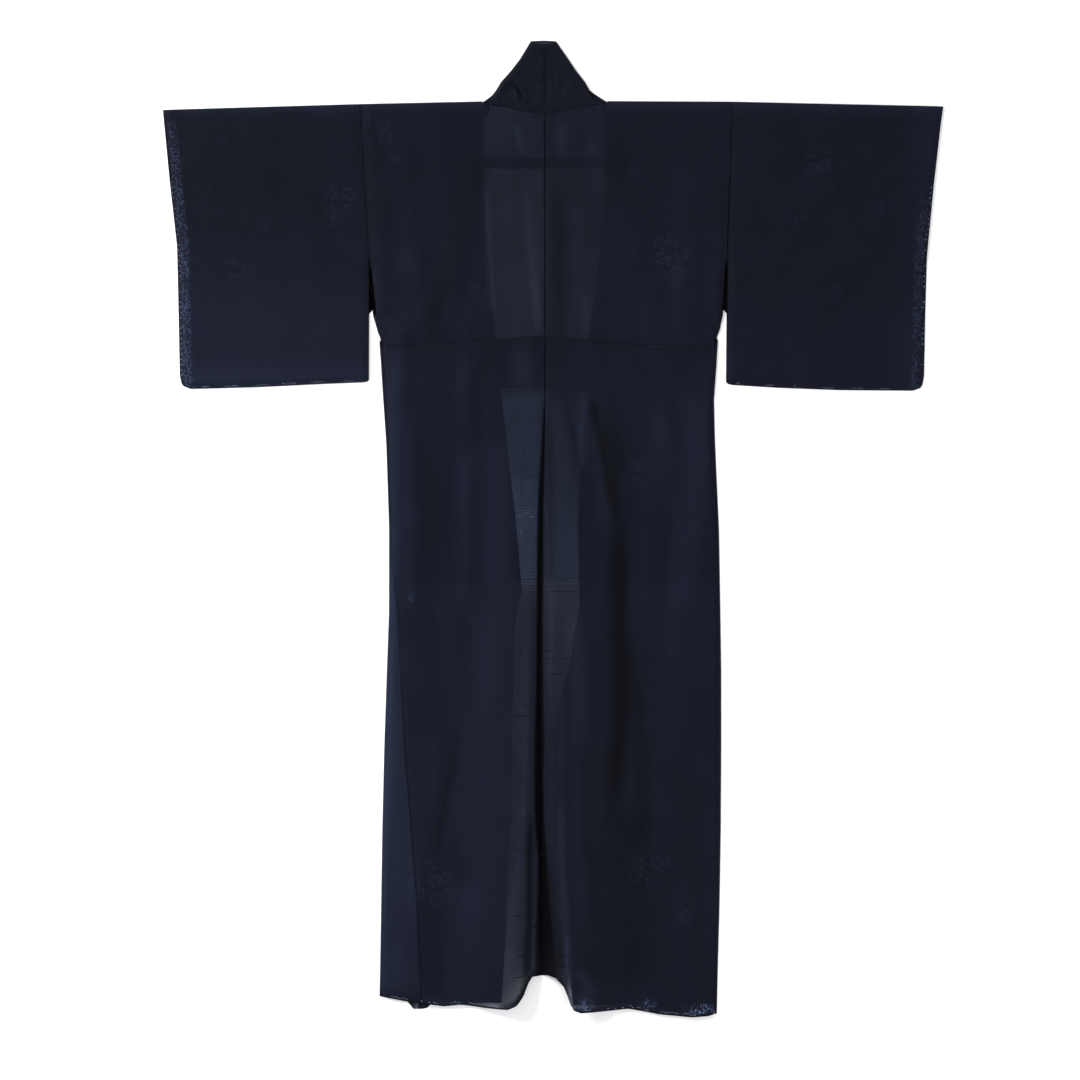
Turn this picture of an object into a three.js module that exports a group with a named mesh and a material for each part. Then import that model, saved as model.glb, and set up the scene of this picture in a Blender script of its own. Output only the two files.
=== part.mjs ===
// An unlined summer kimono of dark navy silk gauze, laid flat with its back upward.
// Millimetres. X runs across the back, Y up towards the collar, Z up from the surface it lies on.
// The tables are measured from the centre back seam (X = 0) and the shoulder fold (Y = 0).
import * as THREE from "three";

// Cloth and the way its layers lie on each other.
const PLY = 1.1;
const GAP = 0.3;
const PITCH = PLY + GAP;
const FRONT_MID = PLY / 2;
const BACK_MID = 5.7;
const COLLAR_THICK = 2.0;

// How the layers settle towards their edges.
const EDGE_RISE = 12;
const CLOSED_EDGE = FRONT_MID + PITCH;
const CUFF_EDGE = 3.4;
const OPEN_EDGE = 3.0;
const SEAM_EDGE = 4.7;

// Lengths that the tables hang on.
const HEM_Y = -1555;
const HEM_SETTLE = 60;
const NECK_DEPTH = 17;
const NECK_HALF = 108;
const ARMHOLE_Y = -265;
const TUCK_FOLD_Y = -494;
const TUCK_SETTLE = 30;
const SEAM_CLOSES = 0.6;
const ARMHOLE_SETTLE = 30;
const CUFF_SETTLE = 12;
const SHOULDER_BELOW = 4;
const SIDE_X = 300;
const SLEEVE_X = 500;
const COLLAR_WIDTH = 55;
const LEAST_NORMAL = 0.3;
const COLLAR_END_Y = -831;
const OVER_COLLAR_END_Y = -450;
const OKUMI_TIP_Y = -246;
const CENTRE_X = 14.3;
const CENTRE_Y = -735;

// Silhouette of the body, one row per height.
const BODY_EDGE = [
  { y: 20, left: -321.34, right: 325.84 },
  { y: -265, left: -304, right: 315 },
  { y: -300, left: -301, right: 313 },
  { y: -368, left: -298, right: 308 },
  { y: -390, left: -291, right: 303 },
  { y: -410, left: -287, right: 299.5 },
  { y: -450, left: -284, right: 297 },
  { y: -514, left: -280, right: 292.5 },
  { y: -590, left: -274.8, right: 294.4 },
  { y: -735, left: -270, right: 301 },
  { y: -785, left: -270, right: 302 },
  { y: -880, left: -270, right: 303.5 },
  { y: -985, left: -273.8, right: 305 },
  { y: -1115, left: -278.2, right: 305 },
  { y: -1255, left: -281.5, right: 304.2 },
  { y: -1390, left: -283.6, right: 302 },
  { y: -1535, left: -286, right: 298 },
  { y: -1590, left: -287, right: 296 },
];

// The centre back seam drifts into the fold that runs to the hem.
const CENTRE_SEAM = [
  { y: 0, x: 0 },
  { y: -566, x: 0 },
  { y: -635, x: -3 },
  { y: -791, x: -7 },
  { y: -930, x: -9 },
  { y: -1033, x: -10 },
  { y: -1293, x: -7 },
  { y: -1560, x: -5 },
];

// How far the front turns round each edge onto the upper side, from the outline to the side seam.
const EDGE_WRAP = [
  { y: 0, left: 4.15, right: 4.15 },
  { y: -785, left: 4.15, right: 4.15 },
  { y: -880, left: 16, right: 4.15 },
  { y: -985, left: 24, right: 4.15 },
  { y: -1115, left: 36, right: 4.15 },
  { y: -1255, left: 51, right: 4.15 },
  { y: -1390, left: 64, right: 4.15 },
  { y: -1535, left: 73, right: 4.15 },
  { y: -1590, left: 75, right: 4.15 },
];

// Lower outline of the back.
const BACK_HEM = [
  { x: -300, y: -1543 },
  { x: -284, y: -1546 },
  { x: -244, y: -1554 },
  { x: -175, y: -1563 },
  { x: -147, y: -1560 },
  { x: -106, y: -1565 },
  { x: -64, y: -1567 },
  { x: -50, y: -1561 },
  { x: -43, y: -1553 },
  { x: -36, y: -1541 },
  { x: -29, y: -1522 },
  { x: -22, y: -1511 },
  { x: 5, y: -1509 },
  { x: 19, y: -1513 },
  { x: 33, y: -1528 },
  { x: 40, y: -1546 },
  { x: 47, y: -1567 },
  { x: 61, y: -1573 },
  { x: 116, y: -1570 },
  { x: 144, y: -1567 },
  { x: 199, y: -1577 },
  { x: 254, y: -1582 },
  { x: 282, y: -1580 },
  { x: 300, y: -1575 },
];

// Lower outline of the fronts beneath, with the one corner that peeps out.
const FRONT_HEM = [
  { x: -300, y: -1538 },
  { x: -244, y: -1548 },
  { x: -234, y: -1560 },
  { x: -228, y: -1568 },
  { x: -206, y: -1568 },
  { x: -198, y: -1560 },
  { x: -190, y: -1556 },
  { x: -64, y: -1558 },
  { x: 50, y: -1562 },
  { x: 144, y: -1561 },
  { x: 254, y: -1575 },
  { x: 300, y: -1569 },
];

// The seam that holds the waist tuck, drawn across the back.
const WAIST_SEAM = [
  { x: -300, y: -426 },
  { x: -121, y: -412 },
  { x: 0, y: -404.5 },
  { x: 177, y: -419 },
  { x: 300, y: -423 },
];

// Back neck seam from the centre out to the shoulder, both sides alike.
const NECK_SEAM = [
  { x: 0, y: -17 },
  { x: 35, y: -13.5 },
  { x: 69, y: -6 },
  { x: 90, y: -3 },
  { x: 108, y: -1.1 },
];

// Free edge of the collar and below it of the overlap, where the cloth beneath the back ends.
const FREE_EDGE = [
  { y: -16, left: -107, right: 107 },
  { y: -133, left: -107, right: 104 },
  { y: -272, left: -95, right: 97 },
  { y: -402, left: -78, right: 92 },
  { y: -497, left: -73, right: 74 },
  { y: -583, left: -67, right: 63 },
  { y: -731, left: -50, right: 57 },
  { y: -831, left: -41.5, right: 59 },
  { y: -869, left: -26, right: 60 },
  { y: -930, left: -21, right: 48 },
  { y: -964, left: -22, right: 45 },
  { y: -1050, left: -27, right: 22 },
  { y: -1150, left: -34, right: 15 },
  { y: -1300, left: -50, right: 20 },
  { y: -1450, left: -66, right: 34 },
  { y: -1570, left: -72, right: 51 },
];

// Inner edge of the front above the overlap's tip, where the collar joins it.
const FRONT_NECK = [
  { y: -1.1, left: -108, right: 108 },
  { y: -30, left: -135, right: 135 },
  { y: -80, left: -158, right: 157 },
  { y: -140, left: -161.5, right: 158.5 },
  { y: -230, left: -154, right: 154.5 },
  { y: -246, left: -153.5, right: 153.8 },
];

// Seam between the front and the overlap, a straight line.
const OKUMI_SEAM = [
  { y: -246, left: -153.8, right: 154.6 },
  { y: -1600, left: -223, right: 202 },
];

// The centre fold across the back: feet, two ridges and the valley between them.
const CENTRE_FOLD = [
  { y: -480, footL: -90, ridgeL: -30, riseL: 0, sink: 0, ridgeR: 30, riseR: 0, footR: 90 },
  { y: -600, footL: -95, ridgeL: -34, riseL: 3, sink: -1, ridgeR: 30, riseR: 3, footR: 85 },
  { y: -800, footL: -100, ridgeL: -34, riseL: 7, sink: -2, ridgeR: 26, riseR: 7, footR: 90 },
  { y: -1000, footL: -105, ridgeL: -38, riseL: 12, sink: -3, ridgeR: 25, riseR: 12, footR: 95 },
  { y: -1300, footL: -115, ridgeL: -46, riseL: 15, sink: -3.4, ridgeR: 35, riseR: 15, footR: 110 },
  { y: -1600, footL: -135, ridgeL: -60, riseL: 19, sink: -3.6, ridgeR: 50, riseR: 19, footR: 135 },
];

// The other large folds: from, bend and end, height (troughs below zero) and half width.
const FOLDS = [
  { x1: 92, y1: -520, x2: 118, y2: -640, x3: 127, y3: -760, rise: 5, reach: 26 },
  { x1: 120, y1: -800, x2: 124, y2: -1090, x3: 104, y3: -1270, rise: -2.4, reach: 30 },
  { x1: -109, y1: -29, x2: -150, y2: -170, x3: -204, y3: -383, rise: -1.3, reach: 26 },
  { x1: -196, y1: -520, x2: -204, y2: -760, x3: -200, y3: -1010, rise: -2.4, reach: 30 },
  { x1: -150, y1: -520, x2: -156, y2: -760, x3: -150, y3: -1010, rise: 4, reach: 34 },
  { x1: -152, y1: -1090, x2: -178, y2: -1200, x3: -188, y3: -1400, rise: -2.2, reach: 30 },
  { x1: 204, y1: -520, x2: 222, y2: -590, x3: 232, y3: -680, rise: 3, reach: 30 },
  { x1: 200, y1: -1000, x2: 214, y2: -1260, x3: 220, y3: -1540, rise: 4, reach: 44 },
];

// Shoulder fold and outline of each sleeve.
const SHOULDER = [
  { x: -661, y: -12 },
  { x: -320, y: -2 },
  { x: -108, y: 2.5 },
  { x: 109, y: 3 },
  { x: 325, y: 2 },
  { x: 689, y: -6 },
];
const SLEEVE_LEFT = {
  side: -1,
  cuffEnd: -244,
  inner: [
    { y: 20, x: -321.34 },
    { y: -265, x: -304 },
    { y: -500, x: -304.7 },
  ],
  outer: [
    { y: 20, x: -661 },
    { y: -16, x: -661 },
    { y: -140, x: -649 },
    { y: -244, x: -637 },
    { y: -327, x: -635 },
    { y: -473, x: -632 },
    { y: -486, x: -629 },
    { y: -490, x: -626 },
    { y: -500, x: -626 },
  ],
  bottom: [
    { x: -626, y: -490 },
    { x: -614, y: -495 },
    { x: -500, y: -492 },
    { x: -376, y: -486 },
    { x: -304, y: -483 },
  ],
};
const SLEEVE_RIGHT = {
  side: 1,
  cuffEnd: -265,
  inner: [
    { y: 20, x: 325.84 },
    { y: -265, x: 315 },
    { y: -500, x: 313 },
  ],
  outer: [
    { y: 20, x: 689 },
    { y: -7, x: 689 },
    { y: -36, x: 685 },
    { y: -140, x: 673 },
    { y: -265, x: 661 },
    { y: -369, x: 658 },
    { y: -473, x: 656 },
    { y: -487, x: 653.5 },
    { y: -493, x: 650 },
    { y: -500, x: 650 },
  ],
  bottom: [
    { x: 313, y: -487.5 },
    { x: 403, y: -493 },
    { x: 507, y: -497 },
    { x: 637, y: -498 },
    { x: 650, y: -493 },
  ],
};

// The over-collar: rows of its bands on the fronts, the turn over the shoulder, and the stand.
// Each station runs from the edge that is sewn on to the free edge.
const COLLAR_BAND_ROWS = [-450, -402, -272, -230, -140, -80, -30];
const COLLAR_TURN = [
  { sewnX: 107.4, sewnY: -2.4, sewnZ: 1.0, freeLeft: -95, freeRight: 95, freeY: -12, freeZ: 1.0 },
  { sewnX: 107.4, sewnY: 1.6, sewnZ: 3.1, freeLeft: -97, freeRight: 96, freeY: 6, freeZ: 1.6 },
  { sewnX: 107.2, sewnY: 0.4, sewnZ: 5.5, freeLeft: -92, freeRight: 90, freeY: 12, freeZ: 3.3 },
];
const COLLAR_STAND = [
  { sewnX: 90, freeLeft: -85, freeRight: 77, freeY: 21, freeZ: 3.9 },
  { sewnX: 69, freeLeft: -76, freeRight: 69, freeY: 36, freeZ: 3.8 },
  { sewnX: 52, freeLeft: -59, freeRight: 54, freeY: 55, freeZ: 3.5 },
  { sewnX: 35, freeLeft: -43, freeRight: 40, freeY: 76, freeZ: 3.2 },
  { sewnX: 17, freeLeft: -24.5, freeRight: 19, freeY: 106.5, freeZ: 2.8 },
  { sewnX: 0, freeLeft: -2, freeRight: -2, freeY: 107.5, freeZ: 3.2 },
];
const COLLAR_CREASE = { x: -1, rise: 2.4, reach: 16 };

// Linings, seen through the back.
const SHOULDER_LINING = { left: -230, right: 208, bottom: -108, corner: 60, below: 5 };
const SEAT_LINING = { top: -514, bottom: -831, share: 0.935 };

// Cloth colours and finishes.
const NAVY = new THREE.MeshStandardMaterial({ color: "#1f222c", roughness: 0.78, metalness: 0 });
const NAVY_SHEER = new THREE.MeshStandardMaterial({ color: "#2b2f3c", roughness: 0.82, metalness: 0 });
const NAVY_COLLAR = new THREE.MeshStandardMaterial({ color: "#1b1e28", roughness: 0.74, metalness: 0 });

// Reads a table along one column, straight between its rows and level past its ends.
function read(table, along, at, column) {
  const rising = table[table.length - 1][along] > table[0][along];
  const rows = rising ? table : [...table].reverse();
  if (at <= rows[0][along]) {
    return rows[0][column];
  }
  for (let i = 1; i < rows.length; i++) {
    if (at <= rows[i][along]) {
      const share = (at - rows[i - 1][along]) / (rows[i][along] - rows[i - 1][along]);
      return rows[i - 1][column] + share * (rows[i][column] - rows[i - 1][column]);
    }
  }
  return rows[rows.length - 1][column];
}

function smooth(share) {
  const t = Math.min(1, Math.max(0, share));
  return t * t * (3 - 2 * t);
}

function sideColumn(side) {
  return side < 0 ? "left" : "right";
}

function bodyEdge(side, y) {
  return read(BODY_EDGE, "y", y, sideColumn(side));
}

function waistSeam(x) {
  return read(WAIST_SEAM, "x", x, "y");
}

// 1 where the tuck lies beneath, falling to 0 above its seam and below its fold.
function tuckShare(x, y) {
  const top = waistSeam(x);
  if (y > top) {
    return 1 - smooth((y - top) / TUCK_SETTLE);
  }
  if (y < TUCK_FOLD_Y) {
    return 1 - smooth((TUCK_FOLD_Y - y) / TUCK_SETTLE);
  }
  return 1;
}

// How far above the waist seam a point lies, as a share of the settling length.
function aboveWaist(x, y) {
  return (y - waistSeam(x)) / TUCK_SETTLE;
}

// Height of the back's middle at its side edge: sewn in above, open under the arm, closed below.
function edgeLevel(x, y) {
  const armhole = smooth((y - ARMHOLE_Y) / ARMHOLE_SETTLE + 1);
  const closed = smooth((1 - aboveWaist(x, y)) / SEAM_CLOSES);
  const open = OPEN_EDGE + armhole * (SEAM_EDGE - OPEN_EDGE);
  const plain = open + closed * (CLOSED_EDGE - open);
  return plain + 2 * PITCH * tuckShare(x, y);
}

function wrapRadius(side, y) {
  return (edgeLevel(bodyEdge(side, y), y) - FRONT_MID) / 2;
}

function wrapWidth(side, y) {
  return read(EDGE_WRAP, "y", y, sideColumn(side));
}

// Height above the plain level at a point of the fold that runs down the centre.
function centreFold(x, y) {
  const at = {};
  for (const column of ["footL", "ridgeL", "riseL", "sink", "ridgeR", "riseR", "footR"]) {
    at[column] = read(CENTRE_FOLD, "y", y, column);
  }
  const valley = read(CENTRE_SEAM, "y", y, "x");
  const marks = [
    { x: at.footL, z: 0 },
    { x: at.ridgeL, z: at.riseL },
    { x: valley, z: at.sink },
    { x: at.ridgeR, z: at.riseR },
    { x: at.footR, z: 0 },
  ];
  for (let i = 1; i < marks.length; i++) {
    if (x > marks[i - 1].x && x <= marks[i].x) {
      const share = smooth((x - marks[i - 1].x) / (marks[i].x - marks[i - 1].x));
      return marks[i - 1].z + share * (marks[i].z - marks[i - 1].z);
    }
  }
  return 0;
}

// Distance from a point to a fold's line, and how far along the line it falls.
function alongFold(fold, x, y) {
  const ends = [fold.x1, fold.y1, fold.x2, fold.y2, fold.x3, fold.y3];
  let best = { away: Infinity, share: 0 };
  for (let i = 0; i < 2; i++) {
    const fromX = ends[2 * i];
    const fromY = ends[2 * i + 1];
    const stepX = ends[2 * i + 2] - fromX;
    const stepY = ends[2 * i + 3] - fromY;
    const along = ((x - fromX) * stepX + (y - fromY) * stepY) / (stepX * stepX + stepY * stepY);
    const share = Math.min(1, Math.max(0, along));
    const away = Math.hypot(x - fromX - share * stepX, y - fromY - share * stepY);
    if (away < best.away) {
      best = { away, share: (i + share) / 2 };
    }
  }
  return best;
}

function largeFolds(x, y) {
  let rise = 0;
  for (const fold of FOLDS) {
    const near = alongFold(fold, x, y);
    const across = 1 - smooth(near.away / (1.6 * fold.reach));
    const ends = smooth(4 * near.share) * smooth(4 * (1 - near.share));
    rise += fold.rise * across * ends;
  }
  return rise;
}

// Height of the middle of the upper layer of the body.
function backHeight(x, y) {
  const side = x < 0 ? -1 : 1;
  const inward = Math.abs(bodyEdge(side, y) - x) - wrapRadius(side, y) - PLY / 2;
  const settled = smooth(inward / EDGE_RISE);
  const level = edgeLevel(x, y);
  return level + settled * (BACK_MID + centreFold(x, y) + largeFolds(x, y) - level);
}

// Height of the middle of the upper layer of a sleeve.
function sleeveHeight(sleeve) {
  return (x, y) => {
    const armhole = smooth((y - ARMHOLE_Y) / ARMHOLE_SETTLE + 1);
    const cuff = smooth((y - sleeve.cuffEnd) / CUFF_SETTLE + 1);
    const edges = [
      {
        away: Math.abs(x - read(sleeve.inner, "y", y, "x")),
        level: OPEN_EDGE + armhole * (SEAM_EDGE - OPEN_EDGE),
      },
      {
        away: Math.abs(x - read(sleeve.outer, "y", y, "x")),
        level: CLOSED_EDGE + cuff * (CUFF_EDGE - CLOSED_EDGE),
      },
      { away: y - read(sleeve.bottom, "x", x, "y"), level: CLOSED_EDGE },
    ];
    let drop = 0;
    for (const edge of edges) {
      drop = Math.max(drop, (BACK_MID - edge.level) * (1 - smooth(edge.away / EDGE_RISE)));
    }
    return BACK_MID - drop;
  };
}

// The upward normal of a height function, and the tangent that leads up the cloth.
function frameAt(height, x, y) {
  const step = 0.5;
  const slopeX = (height(x + step, y) - height(x - step, y)) / (2 * step);
  const slopeY = (height(x, y + step) - height(x, y - step)) / (2 * step);
  const normal = new THREE.Vector3(-slopeX, -slopeY, 1).normalize();
  const up = new THREE.Vector3(0, 1, slopeY);
  up.addScaledVector(normal, -up.dot(normal)).normalize();
  return { normal, up };
}

// A point of cloth: where its middle lies, and which way its outer face looks.
function clothPoint(middle, outward) {
  return { middle, outward };
}

// A point at a depth under a height function; turned is the angle round a fold in the cloth.
function under(height, x, y, depth, turned = 0) {
  const { normal, up } = frameAt(height, x, y);
  const middle = new THREE.Vector3(x, y, height(x, y)).addScaledVector(normal, -depth);
  const outward = normal.clone().multiplyScalar(Math.cos(turned));
  outward.addScaledVector(up, Math.sin(turned));
  return clothPoint(middle, outward);
}

function floorPoint(x, y) {
  return clothPoint(new THREE.Vector3(x, y, FRONT_MID), new THREE.Vector3(0, 0, -1));
}

// A point round the shoulder fold, from the upper layer at angle 0 to the lower one at PI.
function shoulderPoint(height, x, angle) {
  const top = height(x, read(SHOULDER, "x", x, "y") - SHOULDER_BELOW);
  const radius = (top - FRONT_MID) / 2;
  const centreY = read(SHOULDER, "x", x, "y") - radius - PLY / 2;
  const outward = new THREE.Vector3(0, Math.sin(angle), Math.cos(angle));
  const centre = new THREE.Vector3(x, centreY, FRONT_MID + radius);
  return clothPoint(centre.addScaledVector(outward, radius), outward);
}

// Builds one closed wall from rows of cloth points, with rims round its four sides.
function wall(rows, thickness) {
  const across = rows[0].length;
  const positions = [];
  for (const half of [thickness / 2, -thickness / 2]) {
    for (const row of rows) {
      for (const point of row) {
        const corner = point.middle.clone().addScaledVector(point.outward, half);
        positions.push(corner.x, corner.y, corner.z);
      }
    }
  }
  const layer = rows.length * across;
  const outer = (i, j) => i * across + j;
  const inner = (i, j) => layer + i * across + j;
  const midI = Math.floor(rows.length / 3);
  const midJ = Math.floor(across / 2);
  const alongRow = rows[midI + 1][midJ].middle.clone().sub(rows[midI][midJ].middle);
  const acrossRow = rows[midI][midJ + 1].middle.clone().sub(rows[midI][midJ].middle);
  const facing = alongRow.cross(acrossRow).dot(rows[midI][midJ].outward) > 0;
  const faces = [];
  const add = (a, b, c) => {
    if (facing) {
      faces.push(a, b, c);
    } else {
      faces.push(a, c, b);
    }
  };
  // Every quad is cut from its lower inner to its upper outer corner, so that layers nest.
  const quad = (a, b, c, d) => {
    const stepX = positions[3 * c] - positions[3 * a];
    const stepY = positions[3 * c + 1] - positions[3 * a + 1];
    if (stepX * stepY * (positions[3 * a] + positions[3 * c]) > 0) {
      add(a, b, c);
      add(a, c, d);
    } else {
      add(a, b, d);
      add(b, c, d);
    }
  };
  for (let i = 0; i + 1 < rows.length; i++) {
    for (let j = 0; j + 1 < across; j++) {
      quad(outer(i, j), outer(i + 1, j), outer(i + 1, j + 1), outer(i, j + 1));
      quad(inner(i, j), inner(i, j + 1), inner(i + 1, j + 1), inner(i + 1, j));
    }
    quad(outer(i, 0), inner(i, 0), inner(i + 1, 0), outer(i + 1, 0));
    const last = across - 1;
    quad(outer(i, last), outer(i + 1, last), inner(i + 1, last), inner(i, last));
  }
  for (let j = 0; j + 1 < across; j++) {
    const end = rows.length - 1;
    quad(outer(0, j), outer(0, j + 1), inner(0, j + 1), inner(0, j));
    quad(outer(end, j), inner(end, j), inner(end, j + 1), outer(end, j + 1));
  }
  const geometry = new THREE.BufferGeometry();
  geometry.setAttribute("position", new THREE.Float32BufferAttribute(positions, 3));
  geometry.setIndex(faces);
  return geometry;
}

// A flat piece on the surface, from its outline.
function flatPiece(outline, thickness) {
  const shape = new THREE.Shape(outline.map((p) => new THREE.Vector2(p.x, p.y)));
  return new THREE.ExtrudeGeometry(shape, { depth: thickness, bevelEnabled: false });
}

function mesh(name, geometry, material) {
  const node = new THREE.Mesh(geometry, material);
  node.name = name;
  return node;
}

// Columns of the back, as shares of the way from the centre seam to the side seam.
const BACK_COLUMNS = [
  0, 0.035, 0.08, 0.125, 0.18, 0.25, 0.33, 0.42, 0.51, 0.6, 0.69, 0.78, 0.865, 0.935, 0.975, 1,
];
// The front's last columns turn round the edge at these angles and end on the upper side.
const WRAP_ANGLES = [Math.PI, (3 * Math.PI) / 4, Math.PI / 2, Math.PI / 4, 0];
const WRAP_TOP_SHARES = [0.4, 1];
const WRAP_COLUMNS = WRAP_ANGLES.length + WRAP_TOP_SHARES.length - 1;
const FRONT_FLAT = BACK_COLUMNS.length - WRAP_COLUMNS;
const PLAIN_STEP = 1.6;

// Heights of the rows on the back, from the hem up to the neck.
const BACK_ROWS_BELOW = [
  -1555, -1535, -1500, -1450, -1390, -1325, -1255, -1185, -1115, -1050, -985, -930, -880, -831, -785, -735,
  -685, -635, -590, -550, -514,
];
const TUCK_ROWS = [-478, -450];
const TUCK_TURNS = [0, Math.PI / 3, (2 * Math.PI) / 3, Math.PI];
const UPPER_RAMP = [0.15, 0.4, 0.7, 1];
const BACK_ROWS_ABOVE = [-355, -330, -300, -265, -215, -165, -115, -65, -35];
const SHOULDER_TURNS = [0, Math.PI / 4, Math.PI / 2, (3 * Math.PI) / 4, Math.PI];

// Rows of the front: above the side seam, where it closes, and below it down to the hem.
const FRONT_ROWS_ABOVE = [-30, -80, -140, -230, -265, -300, -340];
const FRONT_RAMP = [
  { share: 1, turned: 0 },
  { share: 0.7, turned: 0.5 },
  { share: 0.4, turned: 1 },
  { share: 0.15, turned: 1 },
];
const FRONT_ROWS_BELOW = [
  -450, -494, -514, -550, -590, -735, -785, -880, -985, -1115, -1255, -1390, -1500, -1535, -1555,
];

// Where the back ends at the side: at the armhole, or at the side seam round the edge.
function backSide(side, y) {
  const edge = bodyEdge(side, y);
  const closed = smooth((2 * (1 - aboveWaist(edge, y))) / SEAM_CLOSES);
  return edge - side * (GAP / 2 + closed * wrapWidth(side, y));
}

function backCentre(side, y) {
  return read(CENTRE_SEAM, "y", y, "x") + (side * GAP) / 2;
}

// The height of a hem point, eased into straight rows further up.
function hemmed(table, x, y) {
  const share = 1 - smooth((y - HEM_Y) / HEM_SETTLE);
  return y + share * (read(table, "x", x, "y") - HEM_Y);
}

// One row across the back; place gives its height at each x, depth how far under it lies.
function backRow(side, place, depth = () => 0, turned = 0) {
  return BACK_COLUMNS.map((share) => {
    const from = backCentre(side, place(0));
    const to = backSide(side, place(side * SIDE_X));
    const x = from + share * (to - from);
    return under(backHeight, x, place(x), depth(x), turned);
  });
}

// The back of one half: from the hem, through the tuck at the waist, up to the neck.
function backRows(side) {
  const rows = [];
  const fold = PITCH / 2;
  for (const y of BACK_ROWS_BELOW) {
    rows.push(backRow(side, (x) => hemmed(BACK_HEM, x, y)));
  }
  for (const y of TUCK_ROWS) {
    rows.push(backRow(side, () => y));
  }
  for (const angle of TUCK_TURNS) {
    const y = (x) => waistSeam(x) - fold - PLY / 2 + fold * Math.sin(angle);
    rows.push(backRow(side, y, () => fold * (1 - Math.cos(angle)), angle));
  }
  for (const y of [...TUCK_ROWS].reverse()) {
    rows.push(backRow(side, () => y, () => PITCH, Math.PI));
  }
  for (const angle of TUCK_TURNS) {
    const y = TUCK_FOLD_Y + fold + PLY / 2 - fold * Math.sin(angle);
    const depth = PITCH + fold * (1 - Math.cos(angle));
    rows.push(backRow(side, () => y, () => depth, Math.PI - angle));
  }
  for (const y of TUCK_ROWS) {
    rows.push(backRow(side, () => y, () => 2 * PITCH));
  }
  rows.push(backRow(side, waistSeam, () => 2 * PITCH));
  for (const share of UPPER_RAMP) {
    const y = (x) => waistSeam(x) + share * TUCK_SETTLE;
    rows.push(backRow(side, y, (x) => 2 * PITCH * tuckShare(x, y(x))));
  }
  for (const y of BACK_ROWS_ABOVE) {
    rows.push(backRow(side, () => y));
  }
  for (const mark of NECK_SEAM) {
    rows.push(neckRow(side, mark));
  }
  return rows;
}

// A row that leaves the back neck seam and ends at the armhole.
function neckRow(side, mark) {
  const rise = mark.x / NECK_HALF;
  const outerY = -NECK_DEPTH * (1 - rise) - SHOULDER_BELOW * rise;
  const from = side * Math.max(mark.x, GAP / 2);
  const to = backSide(side, outerY);
  return BACK_COLUMNS.map((share) => {
    const x = from + share * (to - from);
    const last = shoulderPoint(backHeight, x, 0).middle.y;
    const y = mark.y + share * (outerY - mark.y);
    return under(backHeight, x, rise === 1 ? last : Math.min(y, last - 1), 0);
  });
}

// Where the flat part of a front ends inside: at the collar, or at the overlap's seam.
function frontInner(side, y) {
  const table = y > OKUMI_TIP_Y ? FRONT_NECK : OKUMI_SEAM;
  return read(table, "y", y, sideColumn(side)) + (side * GAP) / 2;
}

// One row across a front: flat from the inner edge, then turned over the silhouette by a share.
function frontRow(side, nominal, turned) {
  const edge = bodyEdge(side, nominal);
  const radius = wrapRadius(side, nominal);
  const inner = frontInner(side, nominal);
  const centre = edge - side * (radius + PLY / 2);
  const plainEdge = edge - side * (nominal >= ARMHOLE_Y ? GAP / 2 : 0);
  const lower = (x) => hemmed(FRONT_HEM, x, nominal);
  const upper = (x) => hemmed(BACK_HEM, x, nominal);
  const row = [];
  for (let j = 0; j < FRONT_FLAT; j++) {
    const outer = plainEdge - side * PLAIN_STEP * WRAP_COLUMNS;
    const end = outer + turned * (centre - outer);
    const x = inner + (j / (FRONT_FLAT - 1)) * (end - inner);
    row.push(floorPoint(x, lower(x)));
  }
  for (let k = 1; k <= WRAP_COLUMNS; k++) {
    const plainX = plainEdge - side * PLAIN_STEP * (WRAP_COLUMNS - k);
    const plain = floorPoint(plainX, lower(plainX));
    const shaped = wrapPoint(side, nominal, k, centre, radius, upper);
    const middle = plain.middle.lerp(shaped.middle, turned);
    const outward = plain.outward.lerp(shaped.outward, turned);
    if (outward.length() < LEAST_NORMAL) {
      outward.set(side, 0, 0);
    }
    row.push(clothPoint(middle, outward.normalize()));
  }
  return row;
}

// The k-th point round the silhouette: on the turn, then on the upper side up to the seam.
function wrapPoint(side, nominal, k, centre, radius, upper) {
  if (k < WRAP_ANGLES.length) {
    const angle = WRAP_ANGLES[k];
    const outward = new THREE.Vector3(side * Math.sin(angle), 0, Math.cos(angle));
    const turnCentre = new THREE.Vector3(centre, upper(centre), FRONT_MID + radius);
    return clothPoint(turnCentre.addScaledVector(outward, radius), outward);
  }
  const share = WRAP_TOP_SHARES[k - WRAP_ANGLES.length];
  const seam = bodyEdge(side, nominal) - side * (wrapWidth(side, nominal) - GAP / 2);
  const x = centre + share * (seam - centre);
  return under(backHeight, x, upper(x), 0);
}

// One row round the shoulder fold, easing from the back's columns to the front's.
function shoulderRow(side, angle) {
  const turn = angle / Math.PI;
  const inner = side * NECK_HALF;
  const edge = bodyEdge(side, 0) - (side * GAP) / 2;
  return BACK_COLUMNS.map((share, j) => {
    const flatEnd = edge - side * PLAIN_STEP * WRAP_COLUMNS;
    const flatX = inner + (j / (FRONT_FLAT - 1)) * (flatEnd - inner);
    const lastX = edge - side * PLAIN_STEP * (BACK_COLUMNS.length - 1 - j);
    const frontX = j < FRONT_FLAT ? flatX : lastX;
    const backX = inner + share * (backSide(side, -SHOULDER_BELOW) - inner);
    return shoulderPoint(backHeight, backX + turn * (frontX - backX), angle);
  });
}

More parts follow.
